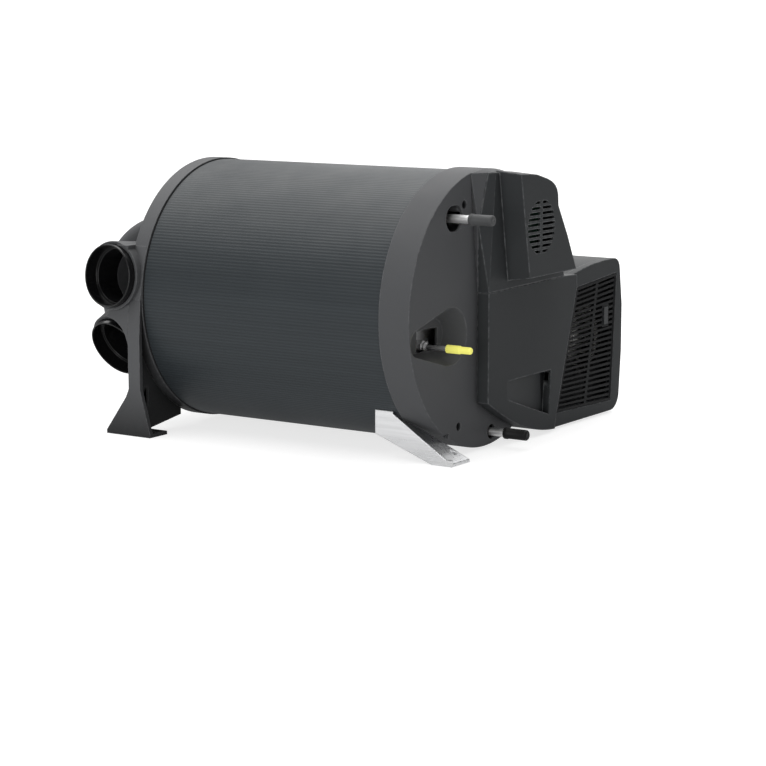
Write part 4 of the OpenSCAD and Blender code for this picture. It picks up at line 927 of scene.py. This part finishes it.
class HEATER_OT_screws(HeaterOperator, bpy.types.Operator):
    """Make the cross-recessed screws and finish the bolts"""
    bl_idname = "heater.screws"
    bl_label = "Screws"

    def execute(self, context):
        sizes, colours = context.scene.heater_sizes, context.scene.heater_colours
        zinc = metal("zinc plate", colours.steel, 0.3, stretch=EVEN, lines=500.0)
        coat(zinc, "bracket_screws", "burner_bolts", "board_screws")
        low, high = node_box("front_cap_screws")
        cloud = node_points("front_cap_screws")
        upper = cloud[:, 2] > (low[2] + high[2]) / 2
        screws = np.stack([screw_surface(cloud[part], sizes) for part in (upper, ~upper)])
        piece = grid_piece("cross_screws", screws, wrap_u=True, sharp=30.0)
        settle(piece, "heater", "screw_steel", zinc, "front_cap_screws")
        return {"FINISHED"}


class HEATER_OT_metalwork(HeaterOperator, bpy.types.Operator):
    """Finish the bracket, the pipes, the shafts and the fittings"""
    bl_idname = "heater.metalwork"
    bl_label = "Metalwork"

    def execute(self, context):
        colours = context.scene.heater_colours
        sheet = metal("bracket sheet", colours.sheet, 0.28, stretch=(0.06, 1.0, 1.0), lines=260.0, gloss=0.1,
                      edge=0.001)
        coat(sheet, "front_bracket")
        bright = metal("bright pipe", colours.pipe, 0.48, stretch=(0.04, 1.0, 1.0), gloss=0.1)
        coat(bright, "hot_water_pipe", "cold_water_pipe", "fuel_pipe", "exhaust_pipe", "fuel_union")
        ground = metal("ground shaft", colours.steel, 0.22, stretch=(1.0, 0.1, 0.1))
        coat(ground, "circulation_shaft", "blower_shaft")
        can = metal("drawn can", tuple(0.55 * c for c in colours.steel), 0.38)
        coat(can, "circulation_motor", "blower_motor")
        coat(metal("turned brass", colours.brass, 0.3), "inlet_elbow")
        return {"FINISHED"}


class HEATER_OT_grille(HeaterOperator, bpy.types.Operator):
    """Make the grille's bead and the dark sheet of painted shade at the scoop's mouth, and finish the grille,
    its latch and what is behind it
    """
    bl_idname = "heater.grille"
    bl_label = "Intake grille"

    def execute(self, context):
        sizes, colours = context.scene.heater_sizes, context.scene.heater_colours
        dark = moulded("grille plastic", colours.grille, 0.5, pits=1000.0, contrast=0.1, rub=0.3, dust=0.03,
                       edge=0.0005, specular=0.08)
        coat(dark, "intake_grille", "inlet_ring", "combustion_air_pipe", "connector_block")
        piece = grid_piece("grille_bead", bead_surface(sizes), wrap_u=True, wrap_v=True, sharp=60.0)
        settle(piece, "grille", "grille_plastic", dark)
        # A thin dark sheet on the scoop's floor is painted shade that stands for the shaded mouth.
        piece = grid_piece("scoop_mouth", mouth_painted_shade_surface(), wrap_u=True)
        settle(piece, "heater", "cover_plastic", dark)
        coat(moulded("latch plastic", colours.cover, 0.45, pits=1000.0, edge=0.0008), "grille_latch")
        wheel = moulded("fan plastic", colours.wheel, 0.4, pits=900.0, rub=0.1, edge=0.0004)
        coat(wheel, "circulation_fan", "blower_wheel")
        return {"FINISHED"}


class HEATER_OT_inside(HeaterOperator, bpy.types.Operator):
    """Finish the tank, the burner, the insulation and the electronics"""
    bl_idname = "heater.inside"
    bl_label = "Inside"

    def execute(self, context):
        colours = context.scene.heater_colours
        foam = moulded("insulation foam", colours.foam, 0.85, pits=400.0, contrast=0.06, bump=0.0003, rub=0.0,
                       dust=0.0)
        coat(foam, "upper_insulation", "lower_insulation")
        tank = metal("tank steel", tuple(0.85 * c for c in colours.steel), 0.3, stretch=(1.0, 0.05, 0.05))
        coat(tank, "water_tank", "combustion_tube")
        cast = metal("cast aluminium", colours.casting, 0.55, stretch=EVEN, lines=420.0, bump=0.0001)
        coat(cast, "heat_exchanger", "burner_flange", "burner_head", "blower_housing")
        coat(moulded("fibre sheet", FIBRE, 0.8, pits=700.0, contrast=0.2, rub=0.0), "burner_gasket")
        plug = moulded("plug ceramic", CERAMIC, 0.25, pits=900.0, contrast=0.03, rub=0.0, dust=0.0)
        coat(plug, "glow_plug")
        board = moulded("board lacquer", colours.board, 0.25, pits=600.0, contrast=0.2, rub=0.0)
        coat(board, "control_board")
        coat(moulded("component plastic", COMPONENT, 0.4, pits=1400.0), "board_parts", "overheat_switch")
        return {"FINISHED"}


class HEATER_PT_panel(bpy.types.Panel):
    """Lists the heater's pieces and settings"""
    bl_label = "Caravan heater"
    bl_idname = "HEATER_PT_panel"
    bl_space_type = "VIEW_3D"
    bl_region_type = "UI"
    bl_category = "Heater"

    def draw(self, context):
        layout = self.layout
        scene = context.scene
        for operator in OPERATORS:
            layout.operator(operator.bl_idname)
        for settings in (scene.heater_sizes, scene.heater_colours, scene.heater_stage):
            box = layout.box()
            for key in settings.__annotations__:
                box.prop(settings, key)


OPERATORS = (HEATER_OT_stage, HEATER_OT_jacket, HEATER_OT_caps, HEATER_OT_skins, HEATER_OT_outlets,
             HEATER_OT_pipe_caps, HEATER_OT_screws, HEATER_OT_metalwork, HEATER_OT_grille, HEATER_OT_inside)
CLASSES = (HeaterColours, HeaterSizes, HeaterStage, *OPERATORS, HEATER_PT_panel)


def register():
    """Registers the classes and adds the settings to the scene."""
    for cls in CLASSES:
        bpy.utils.register_class(cls)
    bpy.types.Scene.heater_colours = PointerProperty(type=HeaterColours)
    bpy.types.Scene.heater_sizes = PointerProperty(type=HeaterSizes)
    bpy.types.Scene.heater_stage = PointerProperty(type=HeaterStage)


def unregister():
    """Takes the settings from the scene and unregisters the classes."""
    for name in ("heater_colours", "heater_sizes", "heater_stage"):
        delattr(bpy.types.Scene, name)
    for cls in reversed(CLASSES):
        bpy.utils.unregister_class(cls)


def main():
    """Builds the pieces in order."""
    register()
    bpy.ops.heater.stage()
    bpy.ops.heater.jacket()
    bpy.ops.heater.caps()
    bpy.ops.heater.skins()
    bpy.ops.heater.outlets()
    bpy.ops.heater.pipe_caps()
    bpy.ops.heater.screws()
    bpy.ops.heater.metalwork()
    bpy.ops.heater.grille()
    bpy.ops.heater.inside()


if __name__ == "__main__":
    main()
